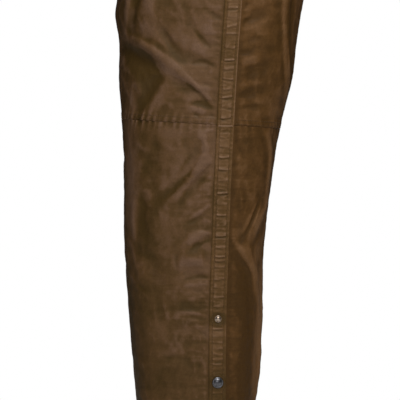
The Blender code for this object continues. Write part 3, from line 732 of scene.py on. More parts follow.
# The puckers that stand out on the placket: height above the hem, size, slant and how far to the sides they
# reach past the sewing, and how far the upper side is as sharp as the lower one and catches the light.
Rung = namedtuple("Rung", "height size slant past lit", defaults=(0,))
RUNGS = [Rung(*row) for row in (
    (629, 0.8, 0.05, 0.1), (618, 0.7, -0.05, 0), (605, 0.7, 0.1, 0.2), (596, 0.6, 0, 0),
    (577, 0.8, -0.08, 0), (561, 1.2, 0.02, 0, 1), (549, 0.7, 0.1, 0), (536, 0.9, -0.1, 0.3, 0.5),
    (523, 0.8, 0.05, 0), (512, 0.9, 0.12, 0.4, 0.5), (499, 0.7, -0.05, 0), (485, 1.1, 0.1, 0.2),
    (460, 0.6, 0, 0), (447, 0.7, -0.08, 0), (433, 1.0, 0.02, 0, 0.6), (417, 1.1, -0.04, 0.8),
    (403, 0.6, 0.06, 0), (385.5, 1.3, 0.03, 0, 1), (371, 0.6, -0.06, 0), (356.5, 1.1, 0.02, 0.2, 0.7),
    (343, 0.6, 0.08, 0), (329, 1.3, 0.05, 0.1), (314, 0.6, -0.05, 0), (301.5, 1.2, 0, 0.3, 1),
    (296.5, 1.1, 0.02, 0.3), (288, 0.9, -0.03, 0), (272, 0.7, 0.06, 0), (261, 0.8, -0.04, 0.3),
    (248, 0.8, 0.05, 0), (236, 0.7, 0, 0.2), (206, 0.8, -0.03, 0.2, 0.3), (196, 0.7, 0.08, 0),
    (188, 0.6, -0.05, 0), (180, 0.7, 0.05, 0.2), (172, 0.6, -0.1, 0), (165, 0.7, 0.04, 0),
    (159, 0.9, 0, 0.2, 0.7), (121, 0.8, 0.05, 0.1), (108, 0.6, -0.08, 0), (95, 0.9, 0.04, 0.2),
    (83, 0.6, 0, 0), (70, 0.8, 0.06, 0), (36, 0.7, -0.04, 0), (642, 0.7, -0.06, 0), (655, 0.9, 0.05, 0.2),
    (669, 0.7, 0, 0), (681, 1.0, 0.06, 0.1, 0.8), (695, 0.7, -0.08, 0), (708, 0.9, 0.04, 0),
    (722, 0.7, 0, 0.2),
)]
RUNG_RISE = 4.2
RUNG_DROP = 0.9
DIMPLE_REACH = 9.0
PLACKET_STEP = 0.85
UNDERLAP_STEP = 3


def strip_base(across, heights):
    """Points, normals and places of the smooth cloth at distances from the side opening, rows first."""
    centre = np.interp(heights, PLACKET_LEVELS, PLACKET_TURNS)
    girth_step = section(centre + 0.01, heights) - section(centre - 0.01, heights)
    per_turn = np.linalg.norm(girth_step, axis=-1) / 0.02
    turns = centre[:, None] + across[None, :] / per_turn[:, None]
    levels = np.repeat(heights[:, None], len(across), axis=1)
    wide = np.broadcast_to(across, levels.shape)
    return section(turns, levels), section_normal(turns, levels), levels, wide


def rung_lift(across, levels):
    """The placket's puckers: each rises slowly from above and drops sharply below its crest."""
    inside = 1 - eased((np.abs(across) - PLACKET_ROW + 1.2) / 1.6)
    lift = np.zeros_like(levels)
    for rung in RUNGS:
        off = levels - rung.height - rung.slant * across - 0.012 * across**2
        drop = RUNG_DROP * (3.1 - 1.3 * min(rung.size, 1.6))
        slow = np.exp(-np.maximum(off, 0) / RUNG_RISE)
        sharp = hump(np.maximum(off, 0), 0.9)
        above = slow * (1 - rung.lit) + sharp * rung.lit
        crest = np.where(off > 0, above, hump(off, drop))
        foot = -0.45 * hump(off + 2.4, 1.4)
        past_row = np.abs(across) - PLACKET_ROW
        outside = rung.past * np.exp(-(past_row**2) / 8) * (past_row > 0)
        lift += rung.size * (crest + foot) * np.maximum(inside, outside)
    return lift


def dimple(across, levels):
    """How the cloth is drawn in round the rivet and the studs."""
    lift = np.zeros_like(levels)
    for height in FASTENER_HEIGHTS:
        off = np.hypot(across, levels - height)
        lift += 0.55 * hump(off - DIMPLE_REACH, 2.2) - 0.5 * np.exp(-((off / 6) ** 4))
    return lift


def fastened_flat(across, levels):
    """1 on free cloth and 0 under a rivet or stud."""
    flat = np.ones_like(levels)
    for height in FASTENER_HEIGHTS:
        flat *= eased((np.hypot(across, levels - height) - 6.5) / 4)
    return flat


def placket_piece(name, low, high, finish):
    """The strip sewn over the side opening, with its sewn rows, turned edges and puckers."""
    edge = PLACKET_WIDTH / 2
    inside = [0, 1.2, 2.4, 3.6, 4.6, 5.4, 6.1, 6.7]
    across = mirrored([*inside, PLACKET_ROW, 7.7, 8.3, 9.1, 10, 10.7, 11.2, edge])
    heights = np.linspace(low, high, int((high - low) / PLACKET_STEP) + 1)
    base, normal, levels, wide = strip_base(across, heights)
    body = SEAM_GAP + CLOTH + 0.2 * (1 - eased((np.abs(wide) - PLACKET_ROW + 1.5) / 1.5))
    sewn = 0.3 * hump(np.abs(wide) - PLACKET_ROW, 0.65)
    turned = 0.9 * eased((np.abs(wide) - edge + 2.2) / 2.2) ** 2 * np.where(wide < 0, 1, 0.75)
    puffs = crumpled(base, PLACKET_PUFFS) + crumpled(base, PLACKET_CRUMPLE)
    flat = fastened_flat(wide, levels)
    ends = eased(np.minimum(levels - low, high - levels) / 3)
    ripple = puckered(levels + 3 * np.sign(wide), spacing=7, width=1.7, seed=7) - 0.4
    ripple *= 0.3 * eased((np.abs(wide) - 5.5) / 2)
    between = 1 - 0.6 * eased((np.abs(wide) - PLACKET_ROW + 1) / 2)
    lift = body - sewn - turned + (rung_lift(wide, levels) + ripple + puffs * between) * flat * ends
    lift += dimple(wide, levels)
    welt = seam_welt(levels, wide)
    lift += welt
    points = base + normal * np.maximum(lift, SEAM_GAP + 0.8)[..., None]
    inner = base + normal * SEAM_GAP
    thigh = eased((levels - 470) / 20)
    # Half the leg's patches, and a painted highlight along the placket's right edge, stronger on the thigh
    wax = 0.5 * wax_and_painted_light_at(base) - (0.9 + 1.5 * thigh) * eased((wide - edge + 2) / 1.2)
    # Painted shade over the turned margins outside the sewn rows
    wax += (0.5 + 0.3 * thigh) * eased((np.abs(wide) - PLACKET_ROW) / 1.5)
    # Painted shade, darker towards the hem, and a painted highlight on the crest of the knee seam's welt
    wax += 0.8 * eased((200 - levels) / 120) - 6 * np.maximum(welt - 0.5, 0)
    # Painted shade in the dimple round each rivet and stud
    for height in FASTENER_HEIGHTS:
        wax += 2.2 * hump(np.hypot(wide, levels - height) - 8, 3)
    laid = (wide + STRIP_MAP_START, levels, crest_of(lift - body), wax)
    piece = cloth_wall(name, points, inner, *laid, finish)
    return piece, Cloth(points, grid_normals(points, normal), wide, levels), across


def seam_welt(levels, across):
    """The knee seam's bulk under the placket, which lifts it in a firm welt."""
    seam = knee_seam(np.interp(levels, PLACKET_LEVELS, PLACKET_TURNS))
    off = levels - seam
    welt = np.where(off > 0, 0.4 * hump(off, 5), hump(off + 1.3, 1.1))
    return 1.2 * welt * (1 - eased((np.abs(across) - 8) / 3))


def underlap_piece(name, low, high, finish):
    """The plain strip inside the side opening."""
    across = mirrored([0, 3, 6, 8.6, 9.4, UNDERLAP_ROW, 10.6, 11.6, 12.6, 13.1, UNDERLAP_WIDTH / 2])
    heights = np.linspace(low, high, int((high - low) / UNDERLAP_STEP) + 1)
    base, normal, levels, wide = strip_base(across, heights)
    from_end = np.minimum(levels, top_edge(PLACKET_TURNS[-1]) - levels)
    wall = CLOTH + (HEM_CLOTH - CLOTH) * eased((HEM_DEPTH + 2 - from_end) / 2)
    near = wall + SEAM_GAP + 0.1
    sewn = 0.45 * hump(np.abs(wide) - UNDERLAP_ROW, 0.7)
    turned = 0.6 * eased((np.abs(wide) - UNDERLAP_WIDTH / 2 + 0.9) / 0.9) ** 2
    wavy = 0.25 * puckered(levels, spacing=14, width=4, seed=17)
    far = near + CLOTH - sewn - turned + wavy
    shown = base - normal * far[..., None]
    hidden = base - normal * near[..., None]
    laid = (wide + STRIP_MAP_START, levels, crest_of(wavy), 0 * wavy)
    piece = cloth_wall(name, shown, hidden, *laid, finish)
    return piece, Cloth(shown, grid_normals(shown, -normal), wide, levels), across


# ---------------------------------------------------------------- belt loop


def loop_arch(foot):
    """The strap's inner face above the top edge, from its outer leg over to its inner one: out and up."""
    half = LOOP_OPENING / 2
    bend = LOOP_RISE - half
    leg = [(foot + (half - foot) * share, bend * share) for share in np.linspace(0, 1, 24)[1:-1]]
    over = [(half * math.cos(t), bend + half * math.sin(t)) for t in np.linspace(0, math.pi, 25)]
    return leg + over + [(-out, up) for out, up in reversed(leg)]


# The columns of a panel's grid that show from the outer side near the placket
OUTER_COLUMNS = 60


def on_panel(cloth, across, height):
    """A point and a normal of a panel's outer face at a place seen from the outer side."""
    row = int(np.argmin(np.abs(cloth.heights[:, 0] - height)))
    near = slice(0, OUTER_COLUMNS)
    order = np.argsort(cloth.points[row, near, 0])
    seen = cloth.points[row, near, 0][order]
    point, normal = [
        np.array([np.interp(across, seen, values[row, near, axis][order]) for axis in range(3)])
        for values in (cloth.points, cloth.normals)
    ]
    point[2] = height
    return point, normal / np.linalg.norm(normal)


def belt_loop_piece(name, cloth, finish):
    """The strap, sewn to both faces of the top edge, with room above it for a belt."""
    edge = LOOP_WIDTH / 2
    across = mirrored([0, 6, 12, 17, 19.5, 20.6, LOOP_ROW, 21.8, 23, 24, edge])
    inner, outer = [], []
    for x in across + LOOP_MIDDLE:
        top = float(top_edge(turn_seen("outer", x, TOP_EDGE)))
        levels = np.linspace(top - LOOP_OVERLAP, top - 0.5, 18)
        laid = [on_panel(cloth, x, level) for level in levels]
        foot_point, foot_normal = laid[-1]
        sideways = foot_normal * [1, 1, 0]
        sideways /= np.linalg.norm(sideways)
        centre = foot_point - foot_normal * HEM_CLOTH / 2
        arch = loop_arch(HEM_CLOTH / 2 + SEAM_GAP)
        line = [point + normal * SEAM_GAP for point, normal in laid]
        ways = [normal for _, normal in laid]
        for before, here, after in zip(arch[:1] + arch[:-1], arch, arch[1:] + arch[-1:]):
            run = np.array([after[0] - before[0], after[1] - before[1]])
            out, up = np.array([run[1], -run[0]]) / np.linalg.norm(run)
            line.append(centre + sideways * here[0] + np.array([0, 0, here[1]]))
            ways.append(sideways * out + np.array([0, 0, up]))
        for (point, normal), level in zip(reversed(laid), levels[::-1]):
            doubled = eased((HEM_DEPTH + 3 - (top - level)) / 4)
            depth = CLOTH + (HEM_CLOTH - CLOTH) * doubled + SEAM_GAP + 0.1
            line.append(point - normal * depth)
            ways.append(-normal)
        off_edge = edge - abs(x - LOOP_MIDDLE)
        sewn = 0.5 * hump(off_edge - 3.3, 0.7)
        turned = 0.8 * float(eased((0.9 - off_edge) / 0.9)) ** 2
        inner.append(line)
        outer.append(np.array(line) + np.array(ways) * (LOOP_CLOTH - sewn - turned))
    inner = np.array(inner).transpose(1, 0, 2)
    outer = np.array(outer).transpose(1, 0, 2)
    length = np.linalg.norm(np.diff(outer[:, 5], axis=0, prepend=outer[:1, 5]), axis=-1).cumsum()
    ends = np.minimum(length, length[-1] - length)
    tucks = 0.35 * (puckered(length, spacing=9, width=2.5, seed=23) - 0.3)
    tucks *= eased((LOOP_OVERLAP - ends) / 10) * eased(ends / 3)
    direction = (outer - inner) / np.linalg.norm(outer - inner, axis=-1, keepdims=True)
    outer = outer + direction * np.maximum(tucks, -0.2)[:, None, None]
    along = np.broadcast_to(across + LOOP_MAP_START, outer.shape[:2])
    up = np.repeat(length[:, None], len(across), axis=1)
    crest = np.repeat(np.clip(tucks + 0.1 * np.sin(length / 27), -1, 1)[:, None], len(across), axis=1)
    piece = cloth_wall(name, outer, inner, along, up, crest, 0 * crest, finish)
    return piece, Cloth(outer, grid_normals(outer, direction), along, up), across


# ---------------------------------------------------------------- sewing


def one_stitch():
    """The mesh of a short plump thread, along X, its middle on the cloth."""
    bm = bmesh.new()
    bmesh.ops.create_uvsphere(bm, u_segments=6, v_segments=5, radius=0.5)
    bmesh.ops.rotate(bm, verts=bm.verts, matrix=Matrix.Rotation(math.pi / 2, 3, "Y"))
    size = Vector((STITCH_LENGTH, STITCH_WIDTH, STITCH_RELIEF * 2)) * MM
    bmesh.ops.scale(bm, verts=bm.verts, vec=size)
    mesh = bpy.data.meshes.new("stitch")
    bm.to_mesh(mesh)
    bm.free()
    return mesh


def stitch_places(points, normals):
    """Where the stitches of a row go, along a line of points on the cloth."""
    steps = np.linalg.norm(np.diff(points, axis=0), axis=1)
    length = np.concatenate([[0], np.cumsum(steps)])
    centres = np.arange(STITCH_PITCH / 2 + 0.6, length[-1] - STITCH_PITCH / 2, STITCH_PITCH)
    places = []
    for centre in centres:
        wanted = ((centre - 1, points), (centre, points), (centre + 1, points), (centre, normals))
        start, point, end, normal = [
            np.array([np.interp(at, length, values[:, axis]) for axis in range(3)]) for at, values in wanted
        ]
        run = Vector(end - start).normalized()
        up = Vector(normal)
        side = up.cross(run).normalized()
        turned = Matrix((run, side, run.cross(side))).transposed().to_4x4()
        seat = Vector((point + normal * STITCH_SEAT + PLUMB_LINE) * MM)
        places.append(Matrix.Translation(seat) @ turned)
    return places


def sewing_piece(name, rows, finish):
    """All the stitches of a seam, from the lines of points and normals that its rows follow."""
    stitch = one_stitch()
    bm = bmesh.new()
    for points, normals in rows:
        for place in stitch_places(points, normals):
            sewn = stitch.copy()
            sewn.transform(place)
            bm.from_mesh(sewn)
            bpy.data.meshes.remove(sewn)
    bpy.data.meshes.remove(stitch)
    piece = as_piece(name, bm, finish)
    piece.data.shade_smooth()
    return piece


def level_line(cloth, offs, off):
    """The line on a panel at one distance from an edge, where offs gives each point's distance from it."""
    orders = np.argsort(offs, axis=0)
    return tuple(
        np.array([
            [np.interp(off, offs[order, i], values[order, i, axis]) for axis in range(3)]
            for i, order in enumerate(orders.T)
        ])
        for values in (cloth.points, cloth.normals)
    )


def shown_part(cloth, line):
    """The part of a line round the leg that the placket leaves bare."""
    bare = np.abs(cloth.along[0]) > PLACKET_WIDTH / 2 + CLEAR_OF_PLACKET
    return tuple(values[bare] for values in line)


def upright_line(cloth, offs, off):
    """As level_line, for an edge that runs up the leg."""
    turned = Cloth(cloth.points.transpose(1, 0, 2), cloth.normals.transpose(1, 0, 2), None, None)
    return level_line(turned, offs.T, off)


def strip_lines(cloth, across, place):
    """The two lines up a strip, or along a strap, at one distance from its middle."""
    columns = [int(np.argmin(np.abs(across - side * place))) for side in (-1, 1)]
    return [(cloth.points[:, i], cloth.normals[:, i]) for i in columns]


# ---------------------------------------------------------------- fasteners


def turned_piece(name, profile, seat, axis, finish):
    """A small metal piece turned from a profile of radii and heights, which starts and ends on its axis."""
    bm = bmesh.new()
    line = [bm.verts.new((radius * MM, 0, height * MM)) for radius, height in profile]
    edges = [bm.edges.new(pair) for pair in zip(line, line[1:])]
    turned = {"axis": (0, 0, 1), "cent": (0, 0, 0), "angle": math.tau, "steps": TURNED_STEPS}
    bmesh.ops.spin(bm, geom=line + edges, use_merge=True, **turned)
    bmesh.ops.remove_doubles(bm, verts=bm.verts, dist=0.005 * MM)
    bmesh.ops.recalc_face_normals(bm, faces=bm.faces)
    facing = Vector(axis).to_track_quat("Z", "Y").to_matrix().to_4x4()
    place = Matrix.Translation(Vector((seat + PLUMB_LINE) * MM)) @ facing
    bmesh.ops.transform(bm, matrix=place, verts=bm.verts)
    return smoothed(as_piece(name, bm, finish))


def dome(radius, base, rise, steps=7):
    """The upper part of a profile: a dome from its rim to its top."""
    ball = (radius**2 + rise**2) / (2 * rise)
    lean = math.asin(min(radius / ball, 1))
    turns = [lean * (1 - step / steps) for step in range(steps + 1)]
    return [(ball * math.sin(t), base + ball * math.cos(t) - (ball - rise)) for t in turns]


STUD_CAP = [(0, 0), (6.6, 0), (7.2, 0.25), (7.5, 0.8), (7.35, 1.35), (6.9, 1.7), (6.4, 1.72), (6.05, 1.5)]
STUD_CAP += dome(5.9, 1.5, 1.9)
RIVET_CAP = [(0, 0), (4.2, 0), (4.5, 0.3), (4.45, 0.7), (4.2, 0.85), (4.0, 0.8)] + dome(3.9, 0.85, 2.2)
STUD_BACK = [(0, 0), (4.4, 0), (5.0, 0.35), (4.8, 0.9), (4.2, 1.05), (3.9, 0.85), (3.0, 0.85), (2.7, 1.2)]
STUD_BACK += [(2.2, 1.45), (1.4, 1.45), (1.1, 1.1), (0, 1.0)]


def fastener_seat(height, inside):
    """The middle of a rivet or stud on the placket's face, or on the underlap's, and the way it faces."""
    base, normal, _, _ = strip_base(np.array([0.0]), np.array([float(height)]))
    point, way = base[0, 0], normal[0, 0]
    if inside:
        return point - way * (SEAM_GAP + 2 * CLOTH + BACK_SEAT), -way
    return point + way * (SEAM_GAP + CLOTH + CAP_SEAT), way


# ---------------------------------------------------------------- finishes


def node_of(tree, kind, **values):
    """A node with some of its inputs or settings filled in."""
    made = tree.nodes.new(kind)
    for key, value in values.items():
        if key.startswith("_"):
            setattr(made, key[1:], value)
        else:
            made.inputs[int(key[1:]) if key[1:].isdigit() else key.replace("_", " ")].default_value = value
    return made


def group_of(name, inputs, outputs):
    """A new shader group with named sockets, and its two end nodes."""
    tree = bpy.data.node_groups.new(name, "ShaderNodeTree")
    for socket, kind, value in inputs:
        made = tree.interface.new_socket(socket, in_out="INPUT", socket_type=kind)
        made.default_value = value
    for socket, kind in outputs:
        tree.interface.new_socket(socket, in_out="OUTPUT", socket_type=kind)
    return tree, tree.nodes.new("NodeGroupInput"), tree.nodes.new("NodeGroupOutput")


def fed(tree, socket, value):
    """Feeds a socket from another one, or sets it to a value."""
    if isinstance(value, bpy.types.NodeSocket):
        tree.links.new(value, socket)
    else:
        socket.default_value = value


def mixed(tree, share, first, second, blend="MIX"):
    """A colour mix. Each of the three is a socket or a value."""
    made = node_of(tree, "ShaderNodeMix", _data_type="RGBA", _blend_type=blend)
    for place, value in ((0, share), (6, first), (7, second)):
        fed(tree, made.inputs[place], value)
    return made.outputs[2]


def maths(tree, operation, first, second=0.0, clamp=False):
    """A sum, product or the like of sockets or values."""
    made = node_of(tree, "ShaderNodeMath", _operation=operation, _use_clamp=clamp)
    for socket, value in zip(made.inputs, (first, second)):
        fed(tree, socket, value)
    return made.outputs[0]


def ranged(tree, value, low, high, to_low=0.0, to_high=1.0):
    made = node_of(tree, "ShaderNodeMapRange", From_Min=low, From_Max=high, To_Min=to_low, To_Max=to_high)
    tree.links.new(value, made.inputs["Value"])
    return made.outputs["Result"]


def noisy(tree, place, scale, detail=3.0, rough=0.55, distortion=0.0):
    settings = {"Scale": scale, "Detail": detail, "Roughness": rough, "Distortion": distortion}
    made = node_of(tree, "ShaderNodeTexNoise", **settings)
    tree.links.new(place, made.inputs["Vector"])
    return made.outputs["Fac"]


def raised(tree, height, strength, distance, under=None):
    """The normals of a fine relief, over another one's."""
    made = node_of(tree, "ShaderNodeBump", Strength=strength, Distance=distance)
    tree.links.new(height, made.inputs["Height"])
    if under is not None:
        tree.links.new(under, made.inputs["Normal"])
    return made.outputs["Normal"]


def object_place(tree):
    return node_of(tree, "ShaderNodeTexCoord").outputs["Object"]


def new_finish(name):
    """A new material, its nodes and its shader."""
    made = bpy.data.materials.new(name)
    made.use_nodes = True
    return made, made.node_tree, made.node_tree.nodes["Principled BSDF"]


def weave_group():
    """Plain weave: a height from 0 to 1 that follows the cloth's own length and width."""
    inputs = [("Yarns per metre", "NodeSocketFloat", 1500.0)]
    tree, start, end = group_of("plain weave", inputs, [("Height", "NodeSocketFloat")])
    laid = node_of(tree, "ShaderNodeUVMap", _uv_map="cloth")
    parts = node_of(tree, "ShaderNodeSeparateXYZ")
    tree.links.new(laid.outputs[0], parts.inputs[0])
    waves = []
    for axis in (0, 1):
        yarns = maths(tree, "MULTIPLY", parts.outputs[axis], start.outputs[0])
        waves.append(maths(tree, "SINE", maths(tree, "MULTIPLY", yarns, math.pi)))
    over = maths(tree, "MULTIPLY", waves[0], waves[1])
    slub = noisy(tree, laid.outputs[0], 260.0, 2.0)
    height = maths(tree, "ADD", maths(tree, "MULTIPLY", over, 0.5), slub)
    tree.links.new(height, end.inputs[0])
    return tree


def wax_and_light_group():
    """Waxed cloth's uneven colour and gloss: crests pale with rubbed wear and painted highlights, painted
    shade in troughs, and thick and thin wax with the painted shade and highlights laid with it.
    """
    # The thick wax colour also stands for painted shade, and the rubbed colour for painted highlights
    inputs = [
        ("Cloth", "NodeSocketColor", (0.1, 0.06, 0.03, 1)),
        ("Thick wax", "NodeSocketColor", (0.05, 0.03, 0.012, 1)),
        ("Rubbed and highlit", "NodeSocketColor", (0.16, 0.1, 0.06, 1)),
        ("Gloss", "NodeSocketFloat", 0.45),
    ]
    outputs = [("Color", "NodeSocketColor"), ("Roughness", "NodeSocketFloat"), ("Height", "NodeSocketFloat")]
    tree, start, end = group_of("wax", inputs, outputs)
    place = object_place(tree)
    crest = node_of(tree, "ShaderNodeAttribute", _attribute_name="crest").outputs["Fac"]
    streaks = node_of(tree, "ShaderNodeMapping", _vector_type="POINT", Scale=(14.0, 14.0, 46.0))
    tree.links.new(place, streaks.inputs["Vector"])
    patches = noisy(tree, place, 9.0, 4.0, 0.6, 0.8)
    streaked = noisy(tree, streaks.outputs[0], 1.0, 3.0, 0.6, 0.5)
    painted_light_and_wax = node_of(tree, "ShaderNodeAttribute", _attribute_name="wax").outputs["Fac"]
    plus, less, times = [partial(maths, tree, kind) for kind in ("ADD", "SUBTRACT", "MULTIPLY")]
    both = plus(times(plus(patches, streaked), 0.35), 0.15)
    both = plus(both, times(painted_light_and_wax, 0.12))
    mottle = noisy(tree, place, 62.0, 4.0, 0.65, 0.3)
    fine = noisy(tree, place, 420.0, 3.0, 0.6)
    # Troughs, where crest is below nought, get painted shade
    thick = ranged(tree, less(both, times(crest, 0.16)), 0.42, 0.68)
    colour = mixed(tree, times(thick, 0.9), start.outputs["Cloth"], start.outputs["Thick wax"])
    # Crests get the rubbed colour: rubbed wear and painted highlights
    worn = times(crest, ranged(tree, mottle, 0.3, 0.62, 0.35, 1.0))
    worn = less(worn, times(painted_light_and_wax, 0.4), clamp=True)
    thin_and_highlit = ranged(tree, both, 0.50, 0.34, 0.0, 0.5)
    colour = mixed(tree, maths(tree, "MAXIMUM", worn, thin_and_highlit), colour, start.outputs["Rubbed and highlit"])
    speck = mixed(tree, 1.0, colour, ranged(tree, fine, 0.25, 0.75, 0.86, 1.14), "MULTIPLY")
    tree.links.new(speck, end.inputs["Color"])
    gloss = plus(start.outputs["Gloss"], times(less(mottle, 0.5), 0.35))
    tree.links.new(plus(gloss, times(thick, -0.06)), end.inputs["Roughness"])
    tree.links.new(plus(times(mottle, 0.7), times(fine, 0.3)), end.inputs["Height"])
    return tree


WEAVE_STRENGTH = 0.12
WEAVE = weave_group()
WAX_AND_LIGHT = wax_and_light_group()


def waxed(name, cloth, thick, rubbed_and_highlit, gloss):
    """Waxed cotton, whose colour, gloss and relief come from the wax and weave groups; its colour includes
    painted shade and highlights.
    """
    made, tree, shader = new_finish(name)
    wax = node_of(tree, "ShaderNodeGroup", _node_tree=WAX_AND_LIGHT)
    for socket, colour in (("Cloth", cloth), ("Thick wax", thick), ("Rubbed and highlit", rubbed_and_highlit)):
        wax.inputs[socket].default_value = (*colour, 1)
    wax.inputs["Gloss"].default_value = gloss
    woven = node_of(tree, "ShaderNodeGroup", _node_tree=WEAVE)
    tree.links.new(wax.outputs["Color"], shader.inputs["Base Color"])
    tree.links.new(wax.outputs["Roughness"], shader.inputs["Roughness"])
    crackle = raised(tree, wax.outputs["Height"], 0.35, 0.0006)
    yarns = raised(tree, woven.outputs["Height"], WEAVE_STRENGTH, 0.0002, crackle)
    tree.links.new(yarns, shader.inputs["Normal"])
    shader.inputs["Specular IOR Level"].default_value = 0.32
    shader.inputs["Specular Tint"].default_value = (1.0, 0.84, 0.72, 1)
    return made


def thread(name, colour):
    """Waxed sewing thread, twisted."""
    made, tree, shader = new_finish(name)
    place = object_place(tree)
    uneven = ranged(tree, noisy(tree, place, 900.0, 2.0), 0.3, 0.7)
    dark, light = [(*(part * share for part in colour), 1) for share in (0.7, 1.25)]
    tree.links.new(mixed(tree, uneven, dark, light), shader.inputs["Base Color"])
    tree.links.new(raised(tree, uneven, 0.3, 0.0002), shader.inputs["Normal"])
    shader.inputs["Roughness"].default_value = 0.55
    return made


def metal(name, bright, dull, low_rough, high_rough):
    """Plated metal, worn bright and dull in small patches."""
    made, tree, shader = new_finish(name)
    place = object_place(tree)
    wear = ranged(tree, noisy(tree, place, 380.0, 4.0, 0.65), 0.36, 0.64)
    tree.links.new(mixed(tree, wear, (*bright, 1), (*dull, 1)), shader.inputs["Base Color"])
    tree.links.new(ranged(tree, wear, 0.0, 1.0, low_rough, high_rough), shader.inputs["Roughness"])
    scratches = raised(tree, noisy(tree, place, 1500.0, 2.0), 0.08, 0.0002)
    tree.links.new(scratches, shader.inputs["Normal"])
    shader.inputs["Metallic"].default_value = 1.0
    return made


# Each cloth's own colour, its colour for thick wax and painted shade, and its colour for rubbed wear and
# painted highlights
FRONT_COLOURS = ((0.200, 0.102, 0.037), (0.099, 0.055, 0.013), (0.278, 0.156, 0.089))
FRONT_FINISH = waxed("waxed cotton", *FRONT_COLOURS, 0.55)
# The back panels' colours are the front's painted darker, as shade on cloth turned from the light; the
# underlaps share them
SHADED_BACK_COLOURS = ((0.192, 0.088, 0.024), (0.098, 0.046, 0.010), (0.270, 0.138, 0.056))
SHADED_BACK_FINISH = waxed("waxed cotton painted in shade", *SHADED_BACK_COLOURS, 0.6)
TRIM_COLOURS = ((0.226, 0.115, 0.039), (0.107, 0.060, 0.015), (0.390, 0.226, 0.128))
TRIM_FINISH = waxed("waxed trim", *TRIM_COLOURS, 0.5)
THREAD_FINISH = thread("waxed thread", (0.19, 0.10, 0.036))
NICKEL_FINISH = metal("dark nickel", (0.32, 0.32, 0.34), (0.16, 0.155, 0.17), 0.27, 0.4)
BRASS_FINISH = metal("worn brass", (1.0, 0.82, 0.66), (0.60, 0.43, 0.31), 0.28, 0.42)

# ---------------------------------------------------------------- the gaiter

front_upper, front_upper_cloth = panel_piece("front_upper_cloth", True, True, FRONT_FINISH)
front_lower, front_lower_cloth = panel_piece("front_lower_cloth", True, False, FRONT_FINISH)
back_upper, back_upper_cloth = panel_piece("back_upper_cloth", False, True, SHADED_BACK_FINISH)
back_lower, back_lower_cloth = panel_piece("back_lower_cloth", False, False, SHADED_BACK_FINISH)

seam_at_placket = float(knee_seam(np.interp(KNEE_SEAM, PLACKET_LEVELS, PLACKET_TURNS)))
top_at_placket = float(top_edge(PLACKET_TURNS[-1]))
above_seam = (seam_at_placket + SEAM_GAP / 2, top_at_placket)
below_seam = (0.0, seam_at_placket - SEAM_GAP / 2)
placket_upper, *placket_upper_strip = placket_piece("placket_upper_strip", *above_seam, TRIM_FINISH)
placket_lower, *placket_lower_strip = placket_piece("placket_lower_strip", *below_seam, TRIM_FINISH)
underlap_upper, *underlap_upper_strip = underlap_piece("underlap_upper_strip", *above_seam, SHADED_BACK_FINISH)
underlap_lower, *underlap_lower_strip = underlap_piece("underlap_lower_strip", *below_seam, SHADED_BACK_FINISH)
belt_loop, *loop_strap = belt_loop_piece("belt_loop_strap", front_upper_cloth, TRIM_FINISH)

metal_pieces = []
for name, height, front_profile, finish, slot in (
    ("rivet", RIVET_HEIGHT, RIVET_CAP, BRASS_FINISH, "rivet_metal"),
    ("stud_1", STUD_HEIGHTS[0], STUD_CAP, NICKEL_FINISH, "stud_metal"),
    ("stud_2", STUD_HEIGHTS[1], STUD_CAP, NICKEL_FINISH, "stud_metal"),
):
    kind, _, number = name.partition("_")
    suffix = f"_{number}" if number else ""
    for end, profile, inside in (("cap", front_profile, False), ("back", STUD_BACK, True)):
        seat, axis = fastener_seat(height, inside)
        piece = turned_piece(f"{name}_{end}_metal", profile, seat, axis, finish)
        metal_pieces.append((piece, f"{kind}_{end}{suffix}", slot))

knee_rows = []
for cloth in (front_upper_cloth, back_upper_cloth):
    off_knee = cloth.heights - cloth.heights[:1]
    knee_rows += [shown_part(cloth, level_line(cloth, off_knee, row)) for row in LAP_ROWS]

inseam_rows = []
for cloth in (front_upper_cloth, front_lower_cloth):
    off_inseam = cloth.along[:, -1:] - cloth.along
    inseam_rows += [upright_line(cloth, off_inseam, row) for row in LAP_ROWS]

edge_rows = []
for cloth in (front_upper_cloth, back_upper_cloth):
    edge_rows.append(shown_part(cloth, level_line(cloth, cloth.heights[-1:] - cloth.heights, HEM_ROW)))
for cloth in (front_lower_cloth, back_lower_cloth):
    edge_rows.append(shown_part(cloth, level_line(cloth, cloth.heights, HEM_ROW)))

placket_rows = strip_lines(*placket_upper_strip, PLACKET_ROW)
placket_rows += strip_lines(*placket_lower_strip, PLACKET_ROW)
underlap_rows = strip_lines(*underlap_upper_strip, UNDERLAP_ROW)
underlap_rows += strip_lines(*underlap_lower_strip, UNDERLAP_ROW)

# The strap's two long rows, and two rows across it on each face of the top edge
loop_cloth = loop_strap[0]
loop_rows = strip_lines(*loop_strap, LOOP_ROW)
loop_rows += [(loop_cloth.points[row, 5:-5], loop_cloth.normals[row, 5:-5]) for row in (1, 15, -2, -16)]

sewing = [
    sewing_piece(name, rows, THREAD_FINISH)
    for name, rows in (
        ("knee_seam_stitches", knee_rows),
        ("inseam_stitches", inseam_rows),
        ("hem_stitches", edge_rows),
        ("placket_stitches", placket_rows),
        ("underlap_stitches", underlap_rows),
        ("belt_loop_stitches", loop_rows),
    )
]

# ---------------------------------------------------------------- what each piece stands for

